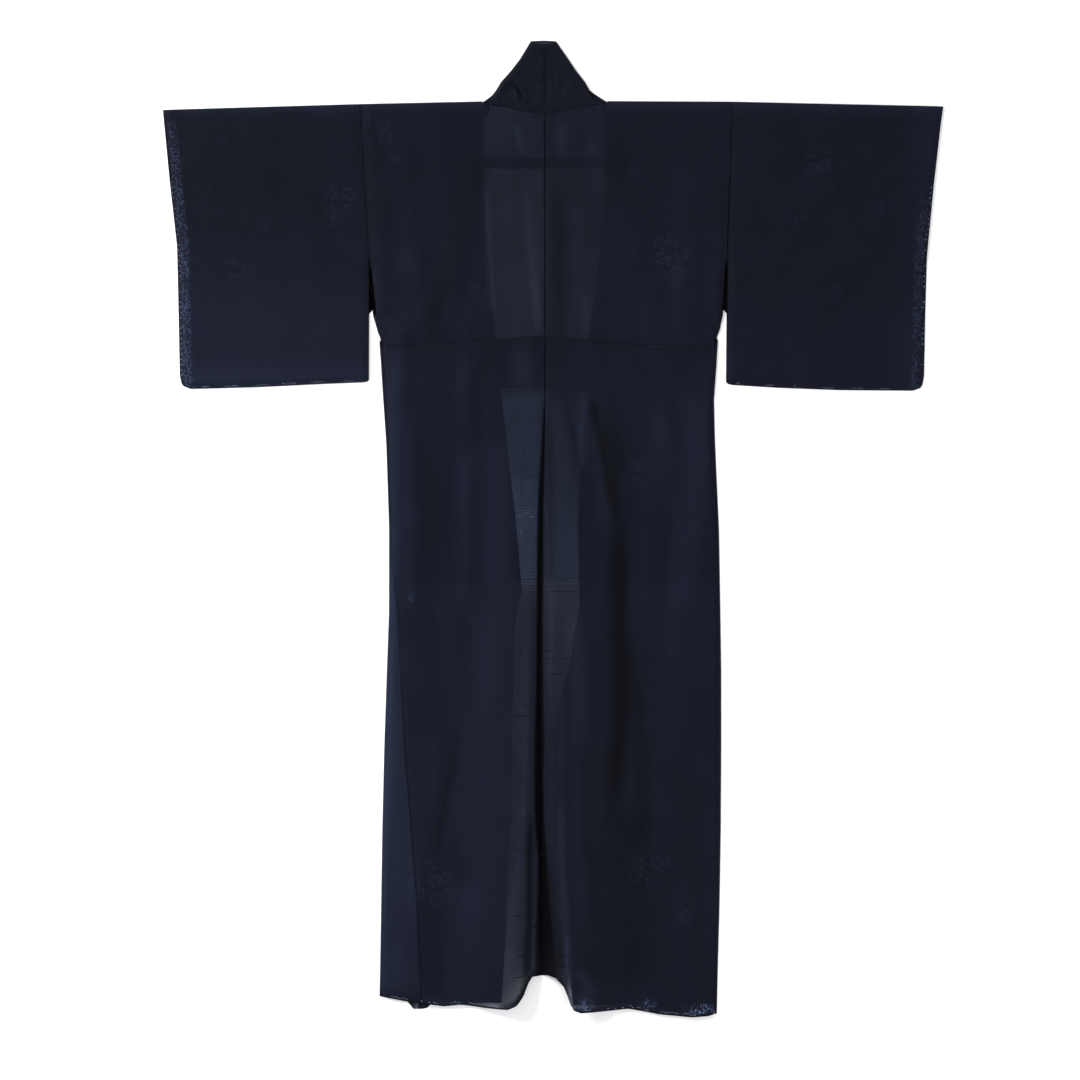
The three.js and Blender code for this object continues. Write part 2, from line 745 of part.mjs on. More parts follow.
// One half of the body: a single length from the back hem over the shoulder to the front hem.
function bodyHalf(side) {
  const rows = backRows(side);
  for (const angle of SHOULDER_TURNS.slice(1)) {
    rows.push(shoulderRow(side, angle));
  }
  for (const y of FRONT_ROWS_ABOVE) {
    rows.push(frontRow(side, y, 0));
  }
  const waist = waistSeam(side * SIDE_X);
  for (const step of FRONT_RAMP) {
    rows.push(frontRow(side, waist + step.share * TUCK_SETTLE, step.turned));
  }
  for (const y of FRONT_ROWS_BELOW) {
    rows.push(frontRow(side, y, 1));
  }
  return wall(rows, PLY);
}

// A sleeve: one length folded at the shoulder, closed below the cuff and along the bottom.
const SLEEVE_ROWS = [0, 4, 9, 16, 60, 120, 180, 218, 236, 260, 300, 350, 400, 440];
const SLEEVE_OUTER = [16, 9, 4, 0];
const SLEEVE_INNER = [0, 6, 14, 90, 180, 260];

function sleeveColumns(sleeve, y) {
  const inner = read(sleeve.inner, "y", y, "x") + (sleeve.side * GAP) / 2;
  const outer = read(sleeve.outer, "y", y, "x");
  const near = SLEEVE_INNER.map((away) => inner + sleeve.side * away);
  const far = SLEEVE_OUTER.map((away) => outer - sleeve.side * away);
  return [...near, ...far];
}

function sleeveRow(sleeve, height, away, upper) {
  const bottom = (x) => read(sleeve.bottom, "x", x, "y") + away;
  return sleeveColumns(sleeve, bottom(sleeve.side * SLEEVE_X)).map((first, j) => {
    const x = sleeveColumns(sleeve, bottom(first))[j];
    return upper ? under(height, x, bottom(x), 0) : floorPoint(x, bottom(x));
  });
}

function sleeve(shape) {
  const height = sleeveHeight(shape);
  const rows = SLEEVE_ROWS.map((away) => sleeveRow(shape, height, away, true));
  for (const angle of SHOULDER_TURNS) {
    rows.push(sleeveColumns(shape, -SHOULDER_BELOW).map((x) => shoulderPoint(height, x, angle)));
  }
  const lower = [0, 60, 236, 350].reverse();
  for (const away of lower) {
    rows.push(sleeveRow(shape, height, away, false));
  }
  return wall(rows, PLY);
}

// The overlap panel: full width below the collar's end, its tip under the collar's seam.
function okumi(side) {
  const column = sideColumn(side);
  const outline = [];
  const seam = (y) => read(OKUMI_SEAM, "y", y, column) - (side * GAP) / 2;
  const hem = (x) => read(FRONT_HEM, "x", x, "y");
  const collarEdge = (y) => read(FREE_EDGE, "y", y, column) + side * (COLLAR_WIDTH + GAP);
  outline.push({ x: seam(OKUMI_TIP_Y - 20), y: OKUMI_TIP_Y - 20 });
  outline.push({ x: seam(HEM_Y), y: hem(seam(HEM_Y)) });
  const hemEnd = read(FREE_EDGE, "y", HEM_Y, column);
  for (const share of [0.14, 0.28, 0.6, 1]) {
    const x = seam(HEM_Y) + share * (hemEnd - seam(HEM_Y));
    outline.push({ x, y: hem(x) });
  }
  const below = FREE_EDGE.filter((row) => row.y < COLLAR_END_Y && row.y > HEM_Y).reverse();
  for (const row of below) {
    outline.push({ x: row[column], y: row.y });
  }
  outline.push({ x: read(FREE_EDGE, "y", COLLAR_END_Y, column), y: COLLAR_END_Y - GAP });
  outline.push({ x: collarEdge(COLLAR_END_Y), y: COLLAR_END_Y - GAP });
  const above = FREE_EDGE.filter((row) => row.y > COLLAR_END_Y && row.y < OKUMI_TIP_Y - 20).reverse();
  for (const row of above) {
    outline.push({ x: collarEdge(row.y), y: row.y });
  }
  outline.push({ x: collarEdge(OKUMI_TIP_Y - 20), y: OKUMI_TIP_Y - 20 });
  return flatPiece(outline, PLY);
}

// The stretch of the collar that shows below the over-collar on each front.
function lowerCollar(side) {
  const column = sideColumn(side);
  const top = OVER_COLLAR_END_Y - GAP;
  const heights = [top];
  for (const row of FREE_EDGE) {
    if (row.y < top && row.y >= COLLAR_END_Y) {
      heights.push(row.y);
    }
  }
  const free = heights.map((y) => ({ x: read(FREE_EDGE, "y", y, column), y }));
  const sewn = free.map((p) => ({ x: p.x + side * COLLAR_WIDTH, y: p.y }));
  return flatPiece([...free, ...sewn.reverse()], COLLAR_THICK);
}

// Where the collar's sewn edge runs on a front.
function collarSeam(side, y) {
  if (y > OKUMI_TIP_Y) {
    return read(FRONT_NECK, "y", y, sideColumn(side)) - (side * GAP) / 2;
  }
  return read(FREE_EDGE, "y", y, sideColumn(side)) + side * COLLAR_WIDTH;
}

// The stations of one half of the over-collar, from its end on the front to the nape.
function collarStations(side) {
  const free = side < 0 ? "freeLeft" : "freeRight";
  const stations = [];
  for (const y of COLLAR_BAND_ROWS) {
    stations.push({
      sewn: new THREE.Vector3(collarSeam(side, y), y, COLLAR_THICK / 2),
      free: new THREE.Vector3(read(FREE_EDGE, "y", y, sideColumn(side)), y, COLLAR_THICK / 2),
    });
  }
  for (const row of COLLAR_TURN) {
    stations.push({
      sewn: new THREE.Vector3(side * row.sewnX, row.sewnY, row.sewnZ),
      free: new THREE.Vector3(row[free], row.freeY, row.freeZ),
    });
  }
  for (const row of COLLAR_STAND) {
    const seamY = read(NECK_SEAM, "x", row.sewnX, "y") + 1.7 * GAP;
    stations.push({
      sewn: new THREE.Vector3(side * row.sewnX, seamY, BACK_MID),
      free: new THREE.Vector3(row[free], row.freeY, row.freeZ),
    });
  }
  return stations;
}

// The over-collar: one band from front to front that stands up behind the neck.
function overCollar() {
  const stations = [...collarStations(-1), ...collarStations(1).reverse().slice(1)];
  const shares = [0, 0.25, 0.5, 0.75, 1];
  const grid = stations.map(({ sewn, free }) =>
    shares.map((share) => creased(sewn.clone().lerp(free, share), share)),
  );
  return wall(withNormals(grid), COLLAR_THICK);
}

function creased(point, share) {
  if (point.y > 0 || point.z > 5) {
    const away = Math.abs(point.x - COLLAR_CREASE.x) / COLLAR_CREASE.reach;
    point.z += COLLAR_CREASE.rise * (1 - smooth(away)) * Math.sin(Math.PI * Math.min(1, share + 0.15));
  }
  return point;
}

// Gives each point of a grid the normal of the surface through its neighbours.
function withNormals(grid) {
  return grid.map((row, i) =>
    row.map((point, j) => {
      const before = grid[Math.max(0, i - 1)][j];
      const after = grid[Math.min(grid.length - 1, i + 1)][j];
      const inside = row[Math.max(0, j - 1)];
      const outside = row[Math.min(row.length - 1, j + 1)];
      const along = after.clone().sub(before);
      const across = outside.clone().sub(inside);
      return clothPoint(point, along.cross(across).normalize());
    }),
  );
}

// The lining of the shoulders, made from the back's points and moved under it.
function shoulderLining() {
  const columns = [-230, -222, -208, -188, -170, -130, -90, -69, -35, 0, 35, 69, 90, 120, 148, 170, 188, 200, 208];
  const rows = [0, 0.25, 0.5, 0.75, 1];
  const { left, right, bottom, corner, below } = SHOULDER_LINING;
  const lowest = (x) => {
    const beyond = Math.max(0, left + corner - x, x - (right - corner));
    return bottom + corner - Math.sqrt(Math.max(0, corner * corner - beyond * beyond));
  };
  const highest = (x) => read(NECK_SEAM, "x", Math.abs(x), "y") - below;
  const grid = rows.map((share) =>
    columns.map((x) => under(backHeight, x, lowest(x) + share * (highest(x) - lowest(x)), PITCH)),
  );
  return wall(grid, PLY);
}

// The lining of the seat, made from the back's points and moved under it.
function seatLining() {
  const { top, bottom, share: widest } = SEAT_LINING;
  const heights = BACK_ROWS_BELOW.filter((y) => y >= bottom && y <= top);
  const shares = BACK_COLUMNS.filter((share) => share <= widest);
  const grid = heights.map((y) => {
    const centre = read(CENTRE_SEAM, "y", y, "x");
    const leftSide = [...shares].reverse().map((share) => centre + share * (backSide(-1, y) - centre));
    const rightSide = shares.slice(1).map((share) => centre + share * (backSide(1, y) - centre));
    return [...leftSide, ...rightSide].map((x) => under(backHeight, x, y, PITCH));
  });
  return wall(grid, PLY);
}

const kimono = new THREE.Group();
kimono.name = "iromuji_kimono";
kimono.add(mesh("body_left", bodyHalf(-1), NAVY));
kimono.add(mesh("body_right", bodyHalf(1), NAVY));
kimono.add(mesh("sleeve_left", sleeve(SLEEVE_LEFT), NAVY));
kimono.add(mesh("sleeve_right", sleeve(SLEEVE_RIGHT), NAVY));
kimono.add(mesh("okumi_left", okumi(-1), NAVY));
kimono.add(mesh("okumi_right", okumi(1), NAVY));
kimono.add(mesh("over_collar", overCollar(), NAVY_COLLAR));
kimono.add(mesh("collar_left", lowerCollar(-1), NAVY_COLLAR));
kimono.add(mesh("collar_right", lowerCollar(1), NAVY_COLLAR));
kimono.add(mesh("shoulder_lining", shoulderLining(), NAVY_SHEER));
kimono.add(mesh("seat_lining", seatLining(), NAVY_SHEER));
for (const node of kimono.children) {
  node.geometry.translate(-CENTRE_X, -CENTRE_Y, 0);
}

export default kimono;
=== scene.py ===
# %% [markdown]
# # An unlined summer kimono in dark navy silk gauze
# The garment lies flat with its back upward. Ro is a leno silk: after every few wefts the warps cross and
# leave a fine see-through row, so the cloth is sheer and its layers show through each other.
#
# It could be draped by a cloth simulation, but a garment that was laid out and smoothed by hand has few
# folds and each has its own place. So every panel is a grid of points that follows tables of real sizes,
# the same ones that the solids underneath were made from, and each fold is a line in a list.

import math

import bmesh
import bpy
import numpy as np
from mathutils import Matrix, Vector


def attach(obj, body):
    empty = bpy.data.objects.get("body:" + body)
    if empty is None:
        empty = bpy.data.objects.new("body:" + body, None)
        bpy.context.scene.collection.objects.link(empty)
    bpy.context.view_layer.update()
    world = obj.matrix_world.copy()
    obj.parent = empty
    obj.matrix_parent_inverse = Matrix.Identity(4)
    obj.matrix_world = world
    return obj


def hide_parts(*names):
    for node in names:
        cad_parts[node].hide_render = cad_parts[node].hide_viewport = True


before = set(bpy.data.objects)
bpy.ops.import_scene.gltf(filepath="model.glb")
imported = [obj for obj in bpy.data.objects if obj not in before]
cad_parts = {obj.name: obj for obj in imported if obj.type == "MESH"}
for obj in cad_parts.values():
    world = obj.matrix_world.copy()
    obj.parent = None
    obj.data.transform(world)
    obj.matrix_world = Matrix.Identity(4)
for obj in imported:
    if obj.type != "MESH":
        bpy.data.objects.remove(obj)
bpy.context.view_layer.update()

# %% [markdown]
# ## Sizes
# The tables are in millimetres, measured from the centre back seam (x = 0) and the shoulder fold (y = 0),
# as a maker would measure a garment on the table. Heights start at the table. Between two rows of a table
# an edge runs straight, which is how cloth cut from a bolt and sewn along its threads behaves.

# %% main sizes
CENTRE = np.array([14.3, -735.0, 0.0])  # the frame's origin, in the maker's measure
SIDE = {-1: "left", 1: "right"}
CLOTH = 0.35  # thickness of the gauze; the real one is a little thinner
LAYER = 0.9  # from one layer to the next where they are sewn
FRONT_MID = 0.3  # height of the fronts, which lie on the table
BACK_MID = 5.7  # height of the back where it lies loosely over the fronts
EDGE_RISE = 12.0  # width over which the back rises from its edges
CLOSED_EDGE = FRONT_MID + LAYER
OPEN_EDGE = 2.6
SEAM_EDGE = 4.7
CUFF_EDGE = 3.0
HEM_Y = -1555.0
TUCK_FOLD_Y = -494.0
TUCK_SETTLE = 30.0  # width over which the cloth settles beside the tuck
NECK_DEPTH = 17.0
NECK_HALF = 108.0
ARMHOLE_Y = -265.0
OKUMI_TIP_Y = -246.0
COLLAR_WIDTH = 55.0
COLLAR_END_Y = -831.0
OVER_COLLAR_END_Y = -450.0


def table(columns, *rows):
    """A small table of sizes, sorted by its first column."""
    data = np.array(sorted(rows), float)
    return dict(zip(columns.split(), data.T))


def read(sizes, at, column):
    """Reads a column, straight between the rows and level past the ends."""
    return np.interp(at, next(iter(sizes.values())), sizes[column])


print("back from shoulder to hem:", -HEM_Y, "mm; tuck fold at", -TUCK_FOLD_Y, "mm")

# %% outline of the body
BODY_EDGE = table(
    "y left right",
    (20, -321.34, 325.84), (-265, -304, 315), (-300, -301, 313), (-368, -298, 308), (-390, -291, 303),
    (-410, -287, 299.5), (-450, -284, 297), (-514, -280, 292.5), (-590, -274.8, 294.4), (-735, -270, 301),
    (-785, -270, 302), (-880, -270, 303.5), (-985, -273.8, 305), (-1115, -278.2, 305), (-1255, -281.5, 304.2),
    (-1390, -283.6, 302), (-1535, -286, 298), (-1590, -287, 296),
)
# The centre seam wanders a little, down in the deep fold.
CENTRE_SEAM = table(
    "y x", (0, 0), (-566, 0), (-635, -3), (-791, -7), (-930, -9), (-1033, -10), (-1293, -7), (-1560, -5)
)
# How far each front turns round the edge on to the back.
EDGE_WRAP = table(
    "y left right",
    (0, 4.15, 4.15), (-785, 4.15, 4.15), (-880, 16, 4.15), (-985, 24, 4.15), (-1115, 36, 4.15),
    (-1255, 51, 4.15), (-1390, 64, 4.15), (-1535, 73, 4.15), (-1590, 75, 4.15),
)
BACK_HEM = table(
    "x y",
    (-300, -1543), (-284, -1546), (-244, -1554), (-175, -1563), (-147, -1560), (-106, -1565), (-64, -1567),
    (-50, -1561), (-43, -1553), (-36, -1541), (-29, -1522), (-22, -1511), (5, -1509), (19, -1513),
    (33, -1528), (40, -1546), (47, -1567), (61, -1573), (116, -1570), (144, -1567), (199, -1577),
    (254, -1582), (282, -1580), (300, -1575),
)
FRONT_HEM = table(
    "x y",
    (-300, -1538), (-244, -1548), (-234, -1560), (-228, -1568), (-206, -1568), (-198, -1560),
    (-190, -1556), (-64, -1558), (50, -1562), (144, -1561), (254, -1575), (300, -1569),
)
WAIST_SEAM = table("x y", (-300, -426), (-121, -412), (0, -404.5), (177, -419), (300, -423))
NECK_SEAM = table("x y", (0, -17), (35, -13.5), (69, -6), (90, -3), (108, -1.1))
# The free edges of the collar and, below its end, of the overlap panels.
FREE_EDGE = table(
    "y left right",
    (-16, -107, 107), (-133, -107, 104), (-272, -97.5, 94), (-340, -92, 86), (-402, -86, 77), (-497, -77, 74),
    (-583, -67, 63), (-731, -50, 57), (-831, -41.5, 59), (-845, -40, 59.5), (-869, -47, 60), (-900, -52, 54),
    (-930, -53, 48), (-964, -54, 45), (-1050, -56, 22), (-1150, -57, 15), (-1240, -58, 18), (-1300, -63, 20),
    (-1450, -69, 34), (-1570, -76, 51),
)
FRONT_NECK = table(
    "y left right",
    (-1.1, -108, 108), (-30, -135, 135), (-80, -158, 157), (-140, -161.5, 158.5), (-230, -154, 154.5),
    (-246, -153.5, 153.8),
)
OKUMI_SEAM = table("y left right", (-246, -153.8, 154.6), (-1600, -223, 202))
SHOULDER = table("x y", (-661, -12), (-320, -2), (-108, 2.5), (109, 3), (325, 2), (689, -6))
print(len(BODY_EDGE["y"]), "rows in the body's outline and", len(BACK_HEM["x"]), "in its hem")

# %% outline of the sleeves
# Each sleeve has its edge beside the body, its outer edge, its bottom and the y where the wrist opening ends.
SLEEVES = {
    -1: {
        "cuff": -244.0,
        "inner": table("y x", (20, -321.34), (-265, -304), (-500, -304.7)),
        "outer": table(
            "y x",
            (20, -661), (-16, -661), (-140, -649), (-244, -637), (-327, -635), (-473, -632), (-486, -629),
            (-490, -626), (-500, -626),
        ),
        "bottom": table(
            "x y",
            (-626, -490), (-614, -495), (-500, -492), (-376, -486), (-312, -483.4), (-307, -482),
            (-304, -478.5),
        ),
    },
    1: {
        "cuff": -265.0,
        "inner": table("y x", (20, 325.84), (-265, 315), (-500, 313)),
        "outer": table(
            "y x",
            (20, 689), (-7, 689), (-36, 685), (-140, 673), (-265, 661), (-369, 658), (-473, 656),
            (-487, 653.5), (-493, 650), (-500, 650),
        ),
        "bottom": table(
            "x y",
            (313, -483), (316.5, -486.4), (322, -488), (403, -493), (507, -497), (637, -498), (650, -493),
        ),
    },
}
for side, sizes in SLEEVES.items():
    print(SIDE[side], "wrist opening:", -sizes["cuff"], "mm")

# %% [markdown]
# ## The folds
# Laid on a table the back doesn't stay flat. One deep fold runs down the centre from the waist to the hem,
# and softer ones fan out from the waist tuck and the shoulders. Gauze has little weight, so all of them are
# low and rounded. Each is placed as a ridge or trough along a bent line, and a few long waves that
# come from a seeded draw keep the rest from looking pressed.

# %% the folds
# The deep fold: where its flanks start, where its ridges run, how high they are and how deep the valley is.
CENTRE_FOLD = table(
    "y foot_l ridge_l rise_l sink ridge_r rise_r foot_r",
    (-480, -90, -30, 0, 0, 30, 0, 90), (-600, -95, -34, 3, -1.6, 30, 3, 85),
    (-800, -100, -34, 7, -3.2, 26, 7, 90), (-1000, -105, -38, 12, -3.8, 25, 12, 95),
    (-1300, -115, -46, 15, -4.2, 35, 15, 110), (-1600, -135, -60, 19, -4.4, 50, 19, 135),
)
# Height in mm (troughs below zero) and half width of each fold, then the bent line that it follows.
FOLDS = [
    (6.0, 24, (92, -520), (118, -640), (127, -760)),
    (-2.6, 9, (79, -505), (102, -595), (121, -740)),
    (-3.4, 28, (120, -800), (126, -1060), (106, -1280)),
    (-2.4, 26, (-119, -38), (-156, -168), (-213, -367)),
    (-0.8, 9, (-139, -50), (-152, -64), (-168, -76)),
    (-3.2, 26, (-204, -445), (-206, -760), (-200, -1010)),
    (4.5, 34, (-150, -520), (-160, -760), (-150, -1010)),
    (-3.0, 16, (-149, -1080), (-172, -1200), (-194, -1330)),
    (2.4, 14, (-166, -1110), (-190, -1210), (-208, -1330)),
    (-2.2, 20, (-211, -1371), (-190, -1460), (-176, -1550)),
    (4.0, 30, (204, -520), (222, -590), (232, -680)),
    (-2.2, 15, (199, -456), (220, -530), (241, -605)),
    (5.0, 44, (200, -1000), (214, -1260), (220, -1540)),
    (-1.4, 8, (33, -492), (49, -572), (63, -650)),
    (-1.8, 14, (-85, -419), (-109, -478), (-126, -600)),
    (-1.8, 20, (-60, -1180), (-72, -1350), (-96, -1520)),
    (-2.6, 28, (118, -1290), (132, -1420), (128, -1530)),
    (-1.6, 24, (150, -60), (176, -180), (214, -330)),
    (-2.0, 26, (236, -700), (250, -860), (256, -1060)),
    (1.2, 18, (-240, -60), (-262, -150), (-280, -240)),
    (1.4, 26, (130, -120), (142, -230), (136, -360)),
    (1.5, 18, (-130, -150), (-138, -240), (-146, -330)),
]
RNG = np.random.default_rng(7)
FULL_TURN = 6.28
# Width and length of a wave in mm, its phase, its height in mm and the way it leans.
RIPPLES = [
    (RNG.uniform(55, 150), RNG.uniform(260, 900), RNG.uniform(0, FULL_TURN), RNG.uniform(0.15, 0.42), tilt)
    for tilt in (1, -1, 1, -1, 1, -1, 1)
]
print(len(FOLDS), "folds and", len(RIPPLES), "ripples")

# %% soft edges and bent lines
def smooth(share):
    """0 up to 1, with soft ends."""
    share = np.clip(share, 0, 1)
    return share * share * (3 - 2 * share)


def near_line(line, x, y):
    """How far a point lies from a bent line, and its share of the way along it."""
    away = np.full(np.shape(x), 1e9)
    share = np.zeros(np.shape(x))
    for i, ((x1, y1), (x2, y2)) in enumerate(zip(line, line[1:])):
        dx, dy = x2 - x1, y2 - y1
        t = np.clip(((x - x1) * dx + (y - y1) * dy) / (dx * dx + dy * dy), 0, 1)
        here = np.hypot(x - x1 - t * dx, y - y1 - t * dy)
        share = np.where(here < away, (i + t) / (len(line) - 1), share)
        away = np.minimum(away, here)
    return away, share


print("middle of a soft edge:", float(smooth(0.5)))

# %% height of the folds
def soft_folds(x, y):
    """The folds and ripples together."""
    rise = np.zeros(np.shape(x))
    for height, reach, *line in FOLDS:
        away, share = near_line(line, x, y)
        ends = smooth(4 * share) * smooth(4 * (1 - share))
        rise += height * (1 - smooth(away / (1.6 * reach))) * ends
    for wide, long, phase, size, tilt in RIPPLES:
        wave = np.sin(FULL_TURN * (x / wide + tilt * y / long) + phase)
        rise += 1.5 * size * wave * smooth(-y / 120)
    return rise


def centre_fold(x, y):
    """The deep fold: gentle outer flanks, two ridges and steep walls down into the valley."""
    at = {column: read(CENTRE_FOLD, y, column) for column in CENTRE_FOLD}
    valley = read(CENTRE_SEAM, y, "x")
    rise = np.zeros(np.shape(x))
    for hand in "lr":
        ridge, foot, top = at["ridge_" + hand], at["foot_" + hand], at["rise_" + hand]
        flank = np.clip((x - foot) / (ridge - foot), 0, 1)
        wall = np.clip((x - valley) / (ridge - valley), 0, 1)
        steep = np.sin(0.5 * math.pi * wall) ** 0.8
        inside = (x - ridge) * np.sign(ridge - valley) < 0
        own_side = (x - valley) * np.sign(ridge - valley) >= 0
        slope = np.where(inside, at["sink"] + (top - at["sink"]) * steep, top * smooth(flank))
        rise += np.where(own_side, slope, 0)
    return rise


valley = centre_fold(np.zeros(1), np.array([-1550.0]))[0]
print("depth of the valley at the hem:", round(-float(valley), 1), "mm")

# %% height of the back
def body_edge(side, y):
    return read(BODY_EDGE, y, SIDE[side])


def waist_seam(x):
    return read(WAIST_SEAM, x, "y")


def tuck_share(x, y):
    """1 over the waist tuck, easing to 0 above its seam and below its fold."""
    above = 1 - smooth((y - waist_seam(x)) / TUCK_SETTLE)
    below = 1 - smooth((TUCK_FOLD_Y - y) / TUCK_SETTLE)
    return np.minimum(above, below)


def edge_level(x, y):
    """Height of the back at its side edge: sewn in above, open under the arm, closed below."""
    armhole = smooth((y - ARMHOLE_Y) / 30 + 1)
    closed = smooth((1 - (y - waist_seam(x)) / TUCK_SETTLE) / 0.6)
    open_level = OPEN_EDGE + armhole * (SEAM_EDGE - OPEN_EDGE)
    return open_level + closed * (CLOSED_EDGE - open_level) + 2 * LAYER * tuck_share(x, y)


def wrap_radius(side, y):
    """Radius of the turn from the front to the back at the edge."""
    return (edge_level(body_edge(side, y), y) - FRONT_MID) / 2


def back_height(x, y):
    """Height of the middle of the back's cloth."""
    edge = np.where(x < 0, body_edge(-1, y), body_edge(1, y))
    radius = np.where(x < 0, wrap_radius(-1, y), wrap_radius(1, y))
    settled = smooth((np.abs(edge - x) - radius - CLOTH / 2) / EDGE_RISE)
    level = edge_level(x, y)
    free = np.maximum(BACK_MID + centre_fold(x, y) + soft_folds(x, y), FRONT_MID + 0.8)
    return level + settled * (free - level)


high = back_height(np.array([50.0]), np.array([-1550.0]))[0]
print("height of the ridge at the hem:", round(float(high), 1), "mm")

# %% height of the sleeves
def sleeve_height(side):
    """A sleeve is calm: only long waves, low at its closed edges."""
    sizes = SLEEVES[side]

    def height(x, y):
        armhole = smooth((y - ARMHOLE_Y) / 30 + 1)
        cuff = smooth((y - sizes["cuff"]) / 12 + 1)
        edges = (
            (np.abs(x - read(sizes["inner"], y, "x")), OPEN_EDGE + armhole * (SEAM_EDGE - OPEN_EDGE)),
            (np.abs(x - read(sizes["outer"], y, "x")), CLOSED_EDGE + cuff * (CUFF_EDGE - CLOSED_EDGE)),
            (y - read(sizes["bottom"], x, "y"), CLOSED_EDGE),
        )
        drop = np.zeros(np.shape(x))
        for away, level in edges:
            drop = np.maximum(drop, (BACK_MID - level) * (1 - smooth(away / EDGE_RISE)))
        waves = sum(
            0.8 * size * np.sin(FULL_TURN * (x / wide * 0.7 + tilt * y / long) + phase)
            for wide, long, phase, size, tilt in RIPPLES
        )
        calm = smooth((BACK_MID - drop - CLOSED_EDGE) / (BACK_MID - CLOSED_EDGE))
        return BACK_MID - drop + waves * calm * 0.8

    return height


middle = sleeve_height(1)(np.array([500.0]), np.array([-250.0]))[0]
print("height in the middle of the right sleeve:", round(float(middle), 1), "mm")

# %% [markdown]
# ## Colours and nodes
# A colour is written as an sRGB hex value, as on a paint chart, while a shader works in linear light, so
# one function turns it. Another adds a node of any kind: its values fill the inputs in their order, inputs
# that need a name or a later place follow in a dict, and everything else is a setting of the node.

# %% colours and nodes
def linear(hex_colour):
    parts = [int(hex_colour[i : i + 2], 16) / 255 for i in (1, 3, 5)]
    return tuple(p / 12.92 if p <= 0.04045 else ((p + 0.055) / 1.055) ** 2.4 for p in parts) + (1.0,)


def node(tree, kind, *values, inputs=None, out=0, **settings):
    """Adds a node with its settings and links and returns one of its outputs."""
    made = tree.nodes.new("ShaderNode" + kind)
    for name, value in settings.items():
        setattr(made, name, value)
    for place, value in {**dict(enumerate(values)), **(inputs or {})}.items():
        if isinstance(value, bpy.types.NodeSocket):
            tree.links.new(value, made.inputs[place])
        else:
            made.inputs[place].default_value = value
    return made.outputs[out] if len(made.outputs) else made


print("navy in linear light:", [round(part, 4) for part in linear("#0f111c")])

# %% [markdown]
# ## The woven flowers
# On the real cloth small flowers are woven into the gauze, a shade paler than the ground. They could be
# painted as an image, but a drawing made of a few curves stays sharp at any size. A Voronoi pattern gives
# one cell to each flower; the angle and the distance from its middle draw a ring with five petals and a
# heart.

# %% woven flowers
FLOWER_CELL = 0.030  # in metres: one flower to each cell of this size
FLOWER_RING = 0.29  # radius of the petal ring, in cells
PETALS = 5


def flowers(tree, uv):
    """Ring flowers, one at most to a cell and only where the cloth is marked as figured."""
    scaled = node(tree, "VectorMath", uv, inputs={3: 1 / FLOWER_CELL}, operation="SCALE")
    scatter = {"Vector": scaled, "Scale": 1.0, "Randomness": 0.5}
    away = node(tree, "TexVoronoi", inputs=scatter, out="Distance", voronoi_dimensions="2D")
    middle = away.node.outputs["Position"]
    x = node(tree, "SeparateXYZ", node(tree, "VectorMath", scaled, middle, operation="SUBTRACT"))
    angle = node(tree, "Math", x.node.outputs["Y"], x, operation="ARCTAN2")
    turns = node(tree, "Math", angle, float(PETALS), operation="MULTIPLY")
    petals = node(tree, "Math", turns, operation="COSINE")
    edge = node(tree, "Math", petals, 0.05, FLOWER_RING, operation="MULTIPLY_ADD")
    off_edge = node(tree, "Math", node(tree, "Math", away, edge, operation="SUBTRACT"), operation="ABSOLUTE")
    ring = node(tree, "MapRange", off_edge, 0.03, 0.085, 1.0, 0.0, interpolation_type="SMOOTHSTEP")
    petal_gaps = node(tree, "Math", petals, 0.22, 0.78, operation="MULTIPLY_ADD")
    ring = node(tree, "Math", ring, petal_gaps, operation="MULTIPLY")
    heart = node(tree, "MapRange", away, 0.05, 0.11, 1.0, 0.0, interpolation_type="SMOOTHSTEP")
    heart = node(tree, "Math", heart, 0.7, operation="MULTIPLY")
    drawn = node(tree, "Math", ring, heart, operation="MAXIMUM")
    figured = node(tree, "Attribute", attribute_name="figured", out="Fac")
    return node(tree, "Math", drawn, figured, operation="MULTIPLY")


print("a flower is about", round(2000 * FLOWER_RING * FLOWER_CELL), "mm across")

# %% [markdown]
# ## The weave
# The weave sits on each panel's own UV map, which holds its real lengths in metres. A ping-pong of the
# length along the warp makes the open rows. A little noise bends them, because no weft lies dead straight,
# and a broader one lets them show clearly in some places and hardly in others. Here and there a weft was
# beaten in harder and shows as a thin dark line.

# %% open rows and hard wefts
RO_PITCH = 0.0055  # really 2 to 3 mm between the open rows: drawn coarser so that they stay visible
ROW_WANDER = 0.007  # in metres: how far a row strays over a hand's breadth


def ro_rows(tree, uv, weave):
    """The open rows, and the length along the warp with its bends."""
    along = node(tree, "SeparateXYZ", uv, out="Y")
    stray = {"Vector": uv, "Scale": 14.0, "Detail": 2.0}
    wander = node(tree, "TexNoise", inputs=stray, noise_dimensions="2D")
    bent = node(tree, "Math", wander, ROW_WANDER, along, operation="MULTIPLY_ADD")
    rows = node(tree, "Math", bent, RO_PITCH, operation="DIVIDE")
    tooth = node(tree, "Math", rows, 0.5, operation="PINGPONG")
    opening = node(tree, "MapRange", tooth, 0.2, 0.46, 0.0, 1.0, interpolation_type="SMOOTHSTEP")
    drift = node(tree, "TexNoise", inputs={"Vector": uv, "Scale": 17.0, "Detail": 1.0}, noise_dimensions="2D")
    clear = node(
        tree, "MapRange", drift, 0.4, 0.62, 0.1 * weave, 1.3 * weave, interpolation_type="SMOOTHSTEP"
    )
    return node(tree, "Math", opening, clear, operation="MULTIPLY"), bent


